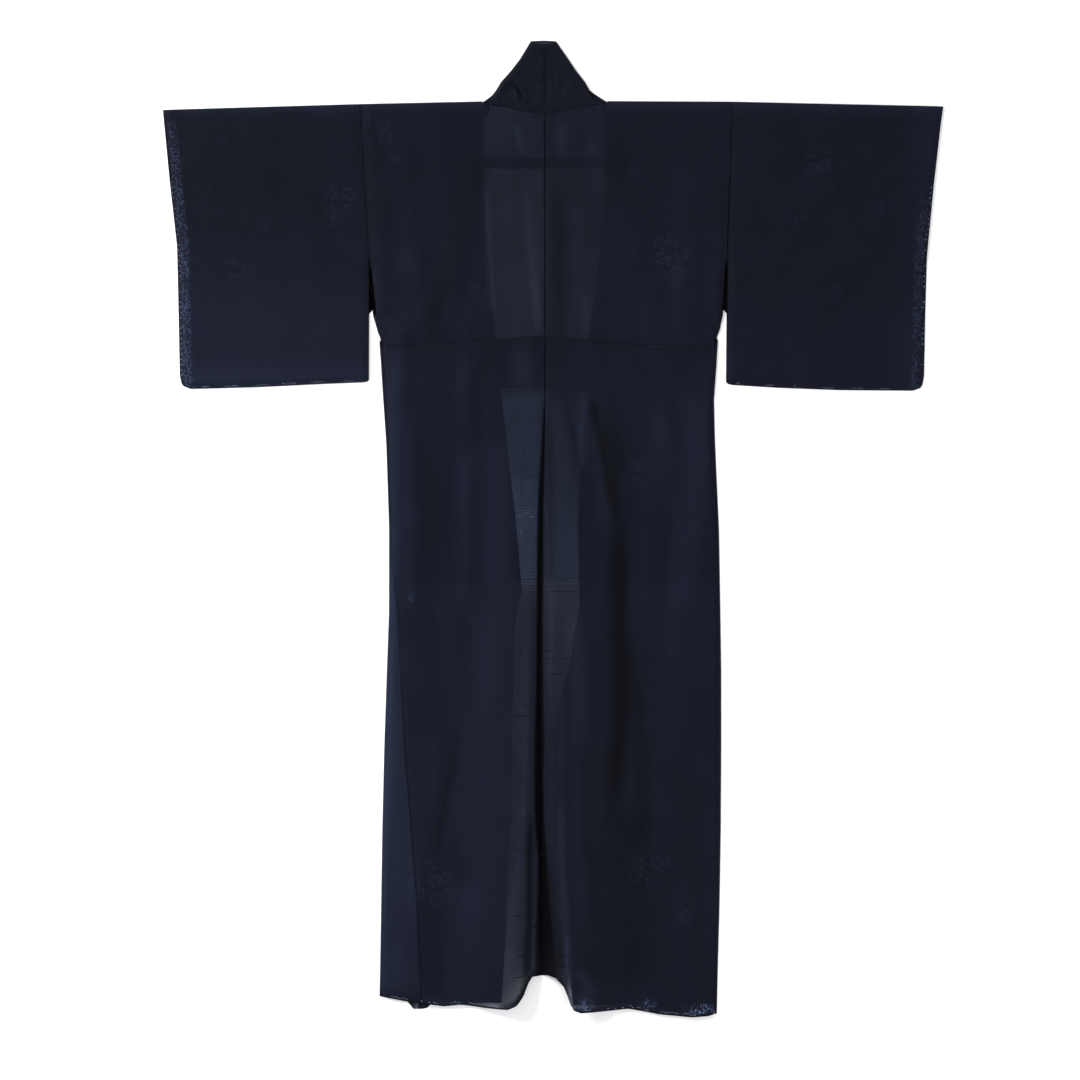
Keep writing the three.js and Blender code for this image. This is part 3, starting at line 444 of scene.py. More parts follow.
def hard_wefts(tree, uv, bent):
    """Thin dark lines at uneven distances, in patches, where the cloth is marked as ribbed."""
    beaten = node(tree, "TexVoronoi", inputs={"W": bent, "Scale": 42.0}, voronoi_dimensions="1D")
    line = node(tree, "MapRange", beaten, 0.02, 0.07, 1.0, 0.0, interpolation_type="SMOOTHSTEP")
    patch = node(tree, "TexNoise", inputs={"Vector": uv, "Scale": 22.0, "Detail": 1.0}, noise_dimensions="2D")
    here = node(tree, "MapRange", patch, 0.5, 0.64, 0.0, 1.0, interpolation_type="SMOOTHSTEP")
    line = node(tree, "Math", line, here, operation="MULTIPLY")
    ribbed = node(tree, "Attribute", attribute_name="ribbed", out="Fac")
    return node(tree, "Math", line, ribbed, operation="MULTIPLY")


def painted_glint_loops(tree, uv):
    """Painted glints in a pattern of small loops, where the panel is marked for them."""
    fine = {"Vector": uv, "Scale": 120.0, "Detail": 1.0, "Distortion": 2.2}
    loops = node(tree, "TexNoise", inputs=fine, noise_dimensions="2D")
    loops = node(tree, "MapRange", loops, 0.52, 0.6, 0.0, 1.0, interpolation_type="SMOOTHSTEP")
    painted_glints = node(tree, "Attribute", attribute_name="painted_glints", out="Fac")
    return node(tree, "Math", painted_glints, loops, operation="MULTIPLY")


print("open rows in 100 mm:", round(0.1 / RO_PITCH))

# %% [markdown]
# ## Silk gauze
# Sheer silk scatters part of the light like any dull cloth and lets the rest straight past its threads. So
# each gauze is a Principled shader mixed with a Transparent one, and the layers underneath show through by
# themselves, as they do on the table. The navy dye tints what passes a little. Marks on the points of a
# panel shift the mix: woven flowers are paler, painted light and painted glints make the dye paler, and
# painted shade takes light, gloss and clearness away together.

# %% the gauze shader
# The near black towards which painted shade and the hard wefts darken the dye.
SHADE_AND_WEFT_BLACK = "#030304"
SHEEN = 0.05  # silk ro is dull: far less gloss than the default


def gauze_ground(tree, uv, colour, pale, gap, flower):
    """The dye, paler where flowers are woven in, along the open rows, a little at random, and where light and
    glints are painted.
    """
    fine = {"Vector": uv, "Scale": 110.0, "Detail": 3.0}
    uneven = node(tree, "TexNoise", inputs=fine, noise_dimensions="2D")
    uneven = node(tree, "MapRange", uneven, 0.3, 0.7, 0.0, 1.0, interpolation_type="SMOOTHSTEP")
    lifted = node(tree, "Math", flower, 0.054, operation="MULTIPLY")
    lifted = node(tree, "Math", uneven, 0.010, lifted, operation="MULTIPLY_ADD")
    lifted = node(tree, "Math", gap, 0.014, lifted, operation="MULTIPLY_ADD")
    # Painted light (with one small stain) and painted glints, as marked on the panel.
    painted_light_and_stain = node(tree, "Attribute", attribute_name="pale", out="Fac")
    for part in (painted_light_and_stain, painted_glint_loops(tree, uv)):
        lifted = node(tree, "Math", lifted, part, operation="ADD")
    colours = {0: lifted, 6: linear(colour), 7: linear(pale)}
    return node(tree, "Mix", inputs=colours, out=2, data_type="RGBA", clamp_factor=True)


def gauze(name, colour, pale, through, tint, weave=1.0, flowered=True):
    """through is the share of light that one layer lets straight past, and tint its colour."""
    material = bpy.data.materials.new(name)
    material.use_nodes = True
    tree = material.node_tree
    tree.nodes.clear()
    uv = node(tree, "UVMap", uv_map="weave")
    gap, bent = ro_rows(tree, uv, weave)
    flower = flowers(tree, uv) if flowered else 0.0
    ground = gauze_ground(tree, uv, colour, pale, gap, flower)
    shade = node(tree, "Attribute", attribute_name="shade", out="Fac")
    dark = node(tree, "Math", shade, hard_wefts(tree, uv, bent), operation="MAXIMUM")
    colours = {0: dark, 6: ground, 7: linear(SHADE_AND_WEFT_BLACK)}
    ground = node(tree, "Mix", inputs=colours, out=2, data_type="RGBA", clamp_factor=True)
    # Only the deepest shade is without any gloss.
    deepest = node(tree, "Math", dark, 8.0, operation="POWER")
    sheen = node(tree, "Math", deepest, -SHEEN, SHEEN, operation="MULTIPLY_ADD")
    passed = node(tree, "Math", gap, 0.17 * through, 0.95 * through, operation="MULTIPLY_ADD")
    opened = node(tree, "Attribute", attribute_name="open", out="Fac")
    lit = node(tree, "Math", 1.0, dark, operation="SUBTRACT")
    thin_flowers = node(tree, "Math", flower, 0.45, 1.0, operation="MULTIPLY_ADD")
    for part in (opened, lit, thin_flowers):
        passed = node(tree, "Math", passed, part, operation="MULTIPLY")
    # Each layer has two faces, so each face lets the square root of the share past.
    face = node(tree, "Math", node(tree, "Clamp", passed), operation="SQRT")
    look = {"Base Color": ground, "Roughness": 0.62, "Specular IOR Level": sheen}
    surface = node(tree, "BsdfPrincipled", inputs=look)
    clear = node(tree, "BsdfTransparent", (*tint, 1.0))
    node(tree, "OutputMaterial", node(tree, "MixShader", face, surface, clear))
    print("material:", name)
    return material


def dull(name, colour, roughness):
    """Thread and the floor: dull and closed."""
    material = bpy.data.materials.new(name)
    material.use_nodes = True
    surface = material.node_tree.nodes["Principled BSDF"]
    surface.inputs["Base Color"].default_value = linear(colour)
    surface.inputs["Roughness"].default_value = roughness
    surface.inputs["Specular IOR Level"].default_value = 0.15
    print("material:", name)
    return material


# %% the finishes
# Leno silk, woven and dyed in the piece: sheer, dull, with open rows and flowers. Its pale colour is also the
# one that painted light and painted glints lift it towards.
BODY_GAUZE = gauze("navy_ro_silk_gauze", "#0f111c", "#56658a", 0.078, (0.92, 0.95, 1.0))
# The same silk folded double for the collar: hardly anything passes it.
COLLAR_GAUZE = gauze(
    "doubled_navy_ro_silk", "#0a0c15", "#5a6680", 0.01, (1.0, 1.0, 1.0), weave=0.5, flowered=False
)
# A thin plain silk: it only tints what it covers.
LINING_GAUZE = gauze(
    "sheer_navy_lining_silk", "#141826", "#56658a", 0.8, (0.86, 0.91, 0.97), weave=0.2, flowered=False
)
# Twisted silk thread: a loose pale one for slip stitches, darker ones for the tuck.
PALE_THREAD = dull("pale_silk_thread", "#8d99b3", 0.6)
WAIST_THREAD = dull("slate_silk_thread", "#333b50", 0.6)
NAVY_THREAD = dull("navy_silk_thread", "#131622", 0.6)

# %% [markdown]
# ## How a panel is made
# Each panel of the real garment is one flat piece cut from the bolt, so each is one grid here: a vertex for
# every point of cloth, moved to its place on the table. A face keeps its own length of cloth in the UV map,
# so the weave runs on over every turn and fold. A modifier then gives the sheet the thickness of the gauze.
# Marks on the points tell the shader where shade is painted, where light is painted paler, how clear the
# cloth is, where glints are painted, where flowers are woven in and where wefts were beaten in harder.

# %% a panel from rows of points
MARKS = ("shade", "pale", "open", "painted_glints", "figured", "ribbed")


def panel(name, points, lengths, material, marks=None):
    """A panel from rows of points and their places in the weave, all in mm, with marks from 0 up."""
    rows, columns = points.shape[:2]
    marks = {"open": np.ones((rows, columns))} | (marks or {})
    mesh = bmesh.new()
    weave = mesh.loops.layers.uv.new("weave")
    layers = {key: mesh.verts.layers.float.new(key) for key in MARKS}
    bmesh.ops.create_grid(mesh, x_segments=columns - 1, y_segments=rows - 1, size=1)
    placed = (points - CENTRE) / 1000
    where = {}
    for vertex in mesh.verts:
        j = round((vertex.co.x + 1) / 2 * (columns - 1))
        i = round((vertex.co.y + 1) / 2 * (rows - 1))
        where[vertex] = (i, j)
        vertex.co = placed[i, j]
        for key, values in marks.items():
            vertex[layers[key]] = float(values[i, j])
    for face in mesh.faces:
        face.smooth = True
        for loop in face.loops:
            loop[weave].uv = lengths[where[loop.vert]] / 1000
    data = bpy.data.meshes.new(name)
    mesh.to_mesh(data)
    mesh.free()
    piece = bpy.data.objects.new(name, data)
    bpy.context.collection.objects.link(piece)
    data.materials.append(material)
    ply = piece.modifiers.new("cloth_thickness", "SOLIDIFY")
    ply.thickness = CLOTH / 1000
    ply.offset = 0
    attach(piece, "root")
    print(name, rows, "x", columns, "points")
    return piece


def laid(x, y, height, depth=0.0):
    """Points of cloth at a depth under a height function."""
    x, y = np.broadcast_arrays(np.asarray(x, float), np.asarray(y, float))
    return np.stack([x, y, height(x, y) - depth], axis=-1)


print("marks on a panel:", ", ".join(MARKS))

# %% [markdown]
# ## Light and shade painted on
# Relief and lamps alone give less contrast than gauze has on a table: between its layers light is swallowed
# many times, and a fold darkens the cloth all through. Tracing that many layers of light would be slow, so
# the strongest bands are listed and painted on. Each is a bent line with a reach and an amount, as a painter
# would glaze over it. The deep valley has a table of its own, because its edges are sharper.

# %% bands of shade
# The edges of the valley's shade.
CORE = table(
    "y left right",
    (-500, -1.2, 0.6), (-514, -2, 1), (-604, -7, 1), (-687, -12, -1.5), (-756, -13.5, -2), (-895, -14.5, -3),
    (-1033, -16, -2), (-1103, -18, -0.5), (-1172, -19, -2), (-1241, -18, -1), (-1310, -12, 4),
    (-1380, -14, 9), (-1450, -16, 16), (-1504, -18, 21), (-1590, -20, 24),
)
# Bands of the back in more shade: the reach in mm, how dark it is, then the bent line.
SHADES = [
    (12, 0.82, (79, -500), (102, -595), (126, -745)),
    (13, 0.22, (108, -500), (116, -620), (132, -760), (146, -900)),
    (20, 0.84, (124, -700), (126, -860), (130, -1040), (116, -1290)),
    (22, 0.4, (146, -870), (156, -1030), (168, -1180), (160, -1320)),
    (60, 0.38, (120, -1200), (150, -1330), (150, -1440), (142, -1550)),
    (26, 0.32, (116, -470), (130, -560), (136, -670)),
    (19, 0.42, (-108, -50), (-135, -168), (-159, -250), (-185, -340), (-211, -456)),
    (11, 0.12, (-126, -92), (-120, -150), (-116, -215)),
    (12, 0.24, (-85, -419), (-109, -478), (-126, -600)),
    (15, 0.2, (-204, -440), (-205, -640), (-204, -830)),
    (20, 0.28, (-186, -500), (-190, -760), (-190, -1000), (-200, -1190)),
    (8, 0.42, (-147, -1080), (-170, -1200), (-193, -1330)),
    (14, 0.2, (-211, -1371), (-190, -1460), (-176, -1552)),
    (10, 0.22, (196, -445), (219, -520), (243, -610)),
    (4.5, 0.42, (33, -492), (49, -572), (63, -650)),
    (5, 0.14, (-36, -560), (-40, -640), (-38, -720)),
    (18, 0.28, (24, -110), (24, -240), (24, -400), (20, -560)),
    (12, 0.24, (72, -100), (74, -180), (78, -260)),
    (7, 0.42, (7, -515), (9, -640), (10, -740), (10, -860)),
    (6.5, 0.9, (-24, -1190), (-27, -1310), (-27, -1380), (-29, -1449), (-29, -1550)),
    (5, 0.9, (-56, -1563), (-43, -1547), (-34, -1527), (-26, -1506)),
    (7, 0.6, (-32, -1430), (-34, -1490), (-36, -1560)),
    (10, 0.14, (-184, -1290), (-182, -1360), (-180, -1440)),
    (12, 0.55, (-1, -1290), (8, -1380), (15, -1450), (26, -1540)),
    (30, 0.12, (118, -20), (122, -90), (124, -200)),
    (20, 0.16, (-300, -30), (-296, -130), (-296, -240)),
    (12, 0.1, (262, -1130), (262, -1330), (258, -1540)),
]
print(len(SHADES), "bands of shade")

# %% [markdown]
# ## Pale bands
# These bands are painted light: the silk is painted paler where it faces the lamp and where a single layer
# lies over the pale floor. One short band is a stain. They are much weaker than the shade, most of them only
# a few hundredths.

# %% bands of light
# Bands of painted light, and one stain: the reach in mm, how pale it is, then the bent line.
PALES = [
    (13, 0.06, (-262, -415), (-260, -600), (-262, -900)),
    (11, 0.034, (-238, -480), (-236, -700), (-238, -880)),
    (11, 0.012, (-248, -850), (-243, -1050), (-232, -1250), (-224, -1500)),
    (15, 0.034, (-141, -580), (-141, -740), (-143, -900)),
    (27, 0.034, (-94, -560), (-94, -720), (-96, -860)),
    (30, 0.02, (-112, -830), (-114, -1000), (-112, -1480)),
    (32, 0.026, (-134, -1330), (-138, -1440), (-146, -1575)),
    (8, 0.028, (-28, -840), (-33, -980), (-35, -1170), (-45, -1300), (-56, -1440), (-66, -1560)),
    (7, 0.045, (-103, -125), (-98, -250), (-88, -390)),
    (10, 0.035, (-36, -122), (-30, -200), (-20, -300), (-14, -404)),
    (15, 0.03, (-264, -360), (-257, -425), (-250, -500)),
    (10, 0.006, (-160, -100), (-196, -200), (-238, -330)),
    (6, 0.05, (-52, -36), (-45, -62), (-38, -94)),
    (10, 0.03, (32, -30), (30, -60), (27, -96)),
    (28, 0.026, (256, -460), (252, -660), (238, -800), (228, -900)),
    (18, 0.014, (212, -840), (226, -1000), (220, -1130)),
    (4, 0.1, (37, -1430), (41, -1501), (47, -1566)),
    (7, 0.045, (26, -1160), (28, -1310), (34, -1400), (40, -1480)),
    (17, 0.038, (46, -860), (54, -1000), (56, -1140)),
    (12, 0.02, (54, -1100), (56, -1280), (68, -1440)),
    (9, 0.05, (52, -1490), (74, -1525), (92, -1545)),
    (8, 0.045, (67, -500), (64, -560), (64, -650)),
    (5, 0.03, (8, -835), (12, -900), (8, -980), (10, -1060)),
    (7, 0.03, (68, -330), (70, -370), (70, -415)),
    # A small pale stain.
    (2.4, 0.2, (-232, -847), (-231, -854), (-232, -862)),
    (13, 0.012, (82, -25), (78, -170), (86, -405)),
    (22, 0.022, (-43, -425), (-43, -458), (-43, -492)),
    (5, 0.03, (301, -480), (304, -900), (302, -1250), (298, -1560)),
    (5, 0.035, (-274, -1080), (-281, -1400), (-284, -1560)),
    (8, 0.03, (-17, -300), (-14, -350), (-11, -400)),
    (8, 0.022, (26, -980), (27, -1080), (28, -1180)),
    (24, 0.014, (-239, -230), (-240, -320), (-238, -410)),
    (13, 0.014, (-137, -330), (-138, -400), (-150, -560)),
    (14, 0.014, (168, -330), (172, -400), (176, -460)),
    (16, 0.016, (226, -280), (228, -360), (226, -440)),
    (14, 0.05, (62, -1530), (66, -1548), (70, -1566)),
    (12, 0.014, (-216, -690), (-216, -750), (-214, -810)),
    (22, 0.02, (-262, -1450), (-262, -1510), (-258, -1560)),
]
print(len(PALES), "pale bands")

# %% [markdown]
# ## Flowers, hem and clearness
# The flowers stand in loose groups with plain cloth between them, so each group is a round spot in which
# the pattern shows. Worn gauze isn't equally clear everywhere: at the seat it lets the bluer lining show
# through, and below that, over the fronts, it looks nearly black. One table gives the clearness by height.

# %% flowers, hem and clearness
# The middle and the reach of each group in mm.
FLOWER_GROUPS = [
    (-350, -160, 40), (-375, -205, 22), (-290, -50, 42), (-262, -110, 24), (-540, -290, 26), (-480, -215, 18),
    (-560, -70, 20), (-35, -730, 30), (5, -970, 18), (-28, -1228, 18), (-205, -1350, 62), (-190, -1110, 20),
    (180, -1320, 48), (120, -1090, 30), (220, -270, 42), (205, -240, 24), (250, -1400, 30), (480, -110, 52),
    (430, -200, 24), (590, -180, 26), (505, -330, 20), (-225, -700, 30), (160, -640, 28), (-120, -330, 22),
]
# Places along the hem where its edge catches the light: x, half width in mm and strength.
HEM_GLINTS = [(-270, 15, 0.8), (68, 13, 0.45), (180, 9, 0.6), (271, 17, 0.85)]

# How much more light than the plain cloth each height of the back lets through.
OPENNESS = table(
    "y left right",
    (0, 1.5, 1.1), (-112, 1.5, 1.1), (-118, 0.95, 0.7), (-300, 0.95, 0.62), (-410, 1.0, 0.7),
    (-498, 1.0, 0.7), (-504, 1.95, 0.75), (-600, 2.0, 1.05), (-648, 2.1, 1.45), (-652, 2.7, 1.6),
    (-800, 2.85, 2.3), (-829, 2.85, 2.3), (-834, 1.3, 1.3), (-870, 1.0, 1.25), (-1000, 0.85, 1.0),
    (-1100, 0.75, 0.7), (-1240, 0.8, 0.55), (-1310, 0.95, 0.5), (-1380, 1.1, 0.5), (-1450, 1.4, 0.6),
    (-1500, 1.8, 0.9), (-1545, 1.5, 0.9),
)
print(len(FLOWER_GROUPS), "groups of flowers")

# %% reading the bands
def in_groups(groups, x, y):
    """1 inside the groups of flowers, easing to 0 at their rims."""
    here = np.zeros(np.shape(x))
    for at_x, at_y, reach in groups:
        here = np.maximum(here, smooth((reach - np.hypot(x - at_x, y - at_y)) / (0.4 * reach)))
    return here


def banded(bands, x, y):
    """Adds up bands that fade to their sides and their ends."""
    total = np.zeros(np.shape(x))
    for reach, amount, *line in bands:
        away, share = near_line(line, x, y)
        ends = smooth(5 * share) * smooth(5 * (1 - share))
        total += amount * (1 - smooth(away / (1.5 * reach))) * ends
    return total


def valley_shade(x, y):
    """Deep in the centre fold no light reaches the cloth."""
    left, right = read(CORE, y, "left"), read(CORE, y, "right")
    soft = 2.0 + 0.16 * (right - left)
    inside = smooth((x - left) / soft + 0.5) * smooth((right - x) / soft + 0.5)
    near_hem = 1 - 0.17 * smooth((-1430 - y) / 90)
    return 0.92 * inside * near_hem * smooth((-500 - y) / 40)


print("deepest shade in the valley:", round(float(valley_shade(-7.0, -1000.0)), 2))

# %% [markdown]
# ## Rows of cloth
# A body half is one length of cloth: up the back from its hem, through the tuck sewn across the waist, over
# the shoulder and down the front. It is laid row by row, as the weaver made it, and every row has the same
# number of points. The points stand closer at the centre seam, where the deep fold is, and at the side,
# where the cloth turns round the edge.

# %% where the points of a row lie
BACK_SHARES = np.concatenate(
    [np.linspace(0, 0.11, 22), np.linspace(0.11, 0.965, 44)[1:], np.linspace(0.965, 1, 7)[1:]]
)
WRAP_ANGLES = np.linspace(math.pi, 0, 9)[1:]
WRAP_TOPS = np.linspace(0, 1, 13)[1:]
WRAPPED = len(WRAP_ANGLES) + len(WRAP_TOPS)
FLAT = len(BACK_SHARES) - WRAPPED
TUCK_TURNS = np.linspace(0, math.pi, 6)
SHOULDER_TURNS = np.linspace(0, math.pi, 9)
CLOTH_START = {-1: 0.0, 1: 1730.0}  # the halves come from different lengths of the bolt
ALLOWANCE = 1.6  # width of the right half's edge under the left half's
SEW_IN = 0.12  # a front's edge lies this far inside the side seam
POINT_STEP = 0.9  # between the points beside the seam


def wrap_width(side, y):
    """How wide the front's strip on the back is."""
    return read(EDGE_WRAP, y, SIDE[side])


def back_side(side, y):
    """The back's side edge: further in below the waist, where the front turns round it."""
    edge = body_edge(side, y)
    closed = smooth(2 * (1 - (y - waist_seam(edge)) / TUCK_SETTLE) / 0.6)
    return edge - side * (0.1 + closed * wrap_width(side, y))


def hemmed(hem, x, y):
    """The height of a hem point, eased into straight rows further up."""
    share = 1 - smooth((y - HEM_Y) / 60)
    return y + share * (read(hem, x, "y") - HEM_Y)


def under_seam(x, start):
    """How deep the right half's allowance lies under the left half's edge."""
    return 0.62 * (1 - smooth(((x - start) / ALLOWANCE - 0.8) / 1.4))


class Rows:
    """Collects rows of points and their places in the weave."""

    def __init__(self):
        self.points, self.lengths = [], []

    def add(self, points, across, along):
        self.points.append(points)
        self.lengths.append(np.stack(np.broadcast_arrays(across, along), axis=-1))

    def arrays(self):
        return np.array(self.points), np.array(self.lengths)


print(len(BACK_SHARES), "points in a row, of which", WRAPPED, "can turn round the edge")

# %% rows of the back
def level_line(y):
    """A row straight across."""
    return lambda x: np.full(np.shape(x), float(y))


def hem_line(y):
    """A row that follows the hem."""
    return lambda x: hemmed(BACK_HEM, x, y)


def waist_line(offset):
    """A row beside the tuck's seam."""
    return lambda x: waist_seam(x) + offset


def back_row(rows, side, place, depth=0.0, taken_up=0.0, along=None):
    """A row across the back; place gives its y at each x. In the weave it lies at along, or else at its y."""
    start = read(CENTRE_SEAM, place(np.zeros(1))[0], "x") - (ALLOWANCE if side > 0 else 0)
    end = back_side(side, place(np.array([side * 300.0]))[0])
    x = start + BACK_SHARES * (end - start)
    y = place(x)
    points = laid(x, y, back_height, depth)
    points[:, 2] -= under_seam(x, start) if side > 0 else 0
    rows.add(points, np.abs(x - start) + CLOTH_START[side], y + taken_up if along is None else along)


def lay_back(rows, side):
    """From the hem up to the tuck's seam."""
    for y in np.concatenate([[HEM_Y, HEM_Y + 2, HEM_Y + 4], np.arange(HEM_Y + 6, -505, 6.0)]):
        back_row(rows, side, hem_line(y), along=y)
    for y in np.arange(-499, -428, 6.5):
        back_row(rows, side, level_line(y), along=y)


def lay_tuck(rows, side, tuck):
    """The tuck: turned under at its seam, down to its fold, back up to the seam, and out over the back."""
    bend = LAYER / 2
    for angle in TUCK_TURNS:
        sunk = bend * (1 - math.cos(angle))
        back_row(rows, side, waist_line(bend * math.sin(angle) - bend), depth=sunk)
    for y in (-440, -470):
        back_row(rows, side, level_line(y), depth=LAYER, along=-830.0 - y)
    for angle in TUCK_TURNS:
        sunk = LAYER + bend * (1 - math.cos(angle))
        back_row(rows, side, level_line(TUCK_FOLD_Y + bend - bend * math.sin(angle)), sunk, along=tuck - 415)
    for y in (-470, -445):
        back_row(rows, side, level_line(y), depth=2 * LAYER, taken_up=2 * tuck)
    middle = np.array([side * 150.0])
    for share in np.linspace(0, 1, 8):
        place = waist_line(share * TUCK_SETTLE)
        sunk = 2 * LAYER * float(tuck_share(middle, place(middle))[0])
        back_row(rows, side, place, depth=sunk, taken_up=2 * tuck)


print("the back ends", round(float(back_side(1, -600.0)), 1), "mm from the centre below the waist")

# %% rows at the shoulder
def shoulder_point(height, x, angle):
    """A point of the fold at the shoulder, turned by an angle from the back to the front."""
    top = height(x, read(SHOULDER, x, "y") - 4)
    radius = (top - FRONT_MID) / 2
    middle = read(SHOULDER, x, "y") - radius - CLOTH / 2
    y = middle + radius * math.sin(angle)
    return np.stack([x, y, FRONT_MID + radius + radius * math.cos(angle)], axis=-1)


def neck_row(rows, side, neck_x, taken_up):
    """A row that starts on the neck seam and ends at the side, a little steeper than the shoulder."""
    share = neck_x / NECK_HALF
    outer_y = -NECK_DEPTH * (1 - share) - 4 * share
    start = side * neck_x - (ALLOWANCE if side > 0 and share == 0 else 0)
    x = start + BACK_SHARES * (back_side(side, outer_y) - start)
    last = shoulder_point(back_height, x, 0)[:, 1]
    inner_y = read(NECK_SEAM, neck_x, "y")
    y = last if share == 1 else np.minimum(inner_y + BACK_SHARES * (outer_y - inner_y), last - 0.6)
    points = laid(x, y, back_height)
    points[:, 2] -= under_seam(x, -ALLOWANCE) if side > 0 else 0
    rows.add(points, np.abs(x) + CLOTH_START[side], y + taken_up)


def lay_shoulder(rows, side, taken_up):
    """From above the tuck up to the neck seam and over the fold at the shoulder."""
    for y in np.arange(-372, -30, 6.2):
        back_row(rows, side, level_line(y), taken_up=taken_up)
    for neck_x in np.linspace(0, NECK_HALF, 13):
        neck_row(rows, side, neck_x, taken_up)
    edge = body_edge(side, 0.0) - side * SEW_IN
    inner = side * NECK_HALF
    back_x = inner + BACK_SHARES * (back_side(side, -4.0) - inner)
    flat_x = inner + np.linspace(0, 1, FLAT) * (edge - side * POINT_STEP * WRAPPED - inner)
    last_x = edge - side * POINT_STEP * (WRAPPED - np.arange(1, WRAPPED + 1))
    for angle in SHOULDER_TURNS[1:]:
        turn = angle / math.pi
        x = back_x + turn * (np.concatenate([flat_x, last_x]) - back_x)
        rows.add(shoulder_point(back_height, x, angle), np.abs(x) + CLOTH_START[side], taken_up + 8 * turn)


top = shoulder_point(back_height, np.array([200.0]), math.pi / 2)[0]
print("the shoulder fold lies at y =", round(float(top[1]), 1), "mm")

# %% rows of the front
def front_row(rows, side, y, turned, along):
    """A row of a front on the table. Where it is turned, its end goes round the edge and over the back."""
    edge = body_edge(side, y)
    radius = wrap_radius(side, y)
    inner = read(FRONT_NECK if y > OKUMI_TIP_Y else OKUMI_SEAM, y, SIDE[side]) + side * SEW_IN
    centre = edge - side * (radius + CLOTH / 2)
    plain_edge = edge - side * (SEW_IN if y >= ARMHOLE_Y else 0)
    outer = plain_edge - side * POINT_STEP * WRAPPED
    flat_x = inner + np.linspace(0, 1, FLAT) * (outer + turned * (centre - outer) - inner)
    flat = np.stack([flat_x, hemmed(FRONT_HEM, flat_x, y), np.full(FLAT, FRONT_MID)], axis=-1)
    plain_x = plain_edge - side * POINT_STEP * (WRAPPED - np.arange(1, WRAPPED + 1))
    plain = np.stack([plain_x, hemmed(FRONT_HEM, plain_x, y), np.full(WRAPPED, FRONT_MID)], axis=-1)
    turn_x = centre + side * radius * np.sin(WRAP_ANGLES)
    turn_y = np.full(len(WRAP_ANGLES), hemmed(BACK_HEM, centre, y))
    turn = np.stack([turn_x, turn_y, FRONT_MID + radius + radius * np.cos(WRAP_ANGLES)], axis=-1)
    top_x = centre + WRAP_TOPS * (edge - side * (wrap_width(side, y) - SEW_IN) - centre)
    top = laid(top_x, hemmed(BACK_HEM, top_x, y), back_height)
    wrapped = np.concatenate([turn, top])
    points = np.concatenate([flat, plain + turned * (wrapped - plain)])
    steps = np.hypot(*np.diff(points[:, ::2], axis=0).T)
    across = np.concatenate([[0], np.cumsum(steps)])
    rows.add(points, CLOTH_START[side] + 150 + across, along)


def lay_front(rows, side, taken_up):
    """From the shoulder down to the hem; below the waist the end of each row is turned."""
    for y in (-30, -80, -140, -230, -265, -300, -340):
        front_row(rows, side, y, 0.0, taken_up - y)
    waist = float(waist_seam(side * 300.0))
    for share, turned in ((1, 0), (0.7, 0.5), (0.4, 1), (0.15, 1)):
        y = waist + share * TUCK_SETTLE
        front_row(rows, side, y, turned, taken_up - y)
    for y in np.concatenate([[-450, -494, -514], np.arange(-545, HEM_Y, -24.0), [HEM_Y]]):
        front_row(rows, side, y, 1.0, taken_up - y)


print("radius of the turn at the left edge:", round(float(wrap_radius(-1, -1000.0)), 2), "mm")

# %% [markdown]
# ## Shade, light and clearness of the body
# At a seam several layers lie on each other and the stitches pull a small groove, so a seam shows as a dark
# line, which is painted in with the shade. The hem is turned up, and it is painted dark too, apart from a few
# loose places. On the left the front's single layer that comes round the edge lies over the pale floor and is
# painted the palest of all.

# %% marks of the body
# From these lines out to the back's edge, the opening under the arm is painted in full shade.
SLIT_EDGE = table(
    "y left right",
    (-265, -304, 313.5), (-280, -301.2, 311.8), (-300, -298, 310.3), (-319, -296, 309), (-332, -294.6, 308),
    (-350, -292.4, 306.2), (-376, -290.2, 304.5),
)
DEEPEST_BAND = 0.78  # bands of shade may cross; together they get no darker than this
# The strip of painted light at the left edge gets weaker towards the hem.
THIN_STRIP = table("y strength", (-1550, 0.35), (-1000, 1))
# A band of a single layer at the hem: its reach, its amount and its line.
SLIVER = (3.6, 1, (41, -1500), (45, -1535), (49, -1572))


def near(x, at, wide):
    """1 at a place, easing to 0 at about twice the width from it."""
    return np.exp(-(((x - at) / wide) ** 2))


def body_shade(side, x, y):
    """Painted shade: the bands, the grooves of the seams, and the dark inside of the opening under the arm.
    """
    shade = np.maximum(valley_shade(x, y), np.minimum(banded(SHADES, x, y), DEEPEST_BAND))
    # For each seam: how dark it is, how far away, its half width in mm and where it shows.
    seams = (
        (0.75, np.abs(x - read(CENTRE_SEAM, y, "x")), 1.0, smooth((y + 520) / 30)),  # centre of the back
        (0.8, np.abs(x - body_edge(side, y)), 0.8, smooth((y - ARMHOLE_Y) / 10)),  # sleeve
        (0.33, np.abs(y - waist_seam(x) + 0.4), 1.1, 1.0),  # tuck
        (0.45, np.abs(y - read(NECK_SEAM, np.abs(x), "y")), 1.4, np.abs(x) < 106),  # collar
        (0.32, np.abs(x - back_side(side, y)), 0.7, (side < 0) * smooth((-800 - y) / 40)),  # side
        (0.75, y - read(BACK_HEM, x, "y"), 1.6, 1.0),  # hem
    )
    for amount, away, half, where in seams:
        shade = np.maximum(shade, amount * (1 - smooth((away - half) / 1.4)) * where)
    # Beyond the slit's edge the back is painted in full shade, the dark inside of the opening under the arm.
    past_slit = smooth((np.abs(x) - np.abs(read(SLIT_EDGE, y, SIDE[side]))) / 1.2 + 0.5)
    shade = np.maximum(shade, past_slit * smooth((-262 - y) / 8) * smooth((y + 374) / 8))
    # A little painted shade over the upper back.
    painted_upper_shade = 0.1 * smooth((y + 300) / 140) * smooth((-8 - y) / 26)
    return shade + (1 - shade) * painted_upper_shade


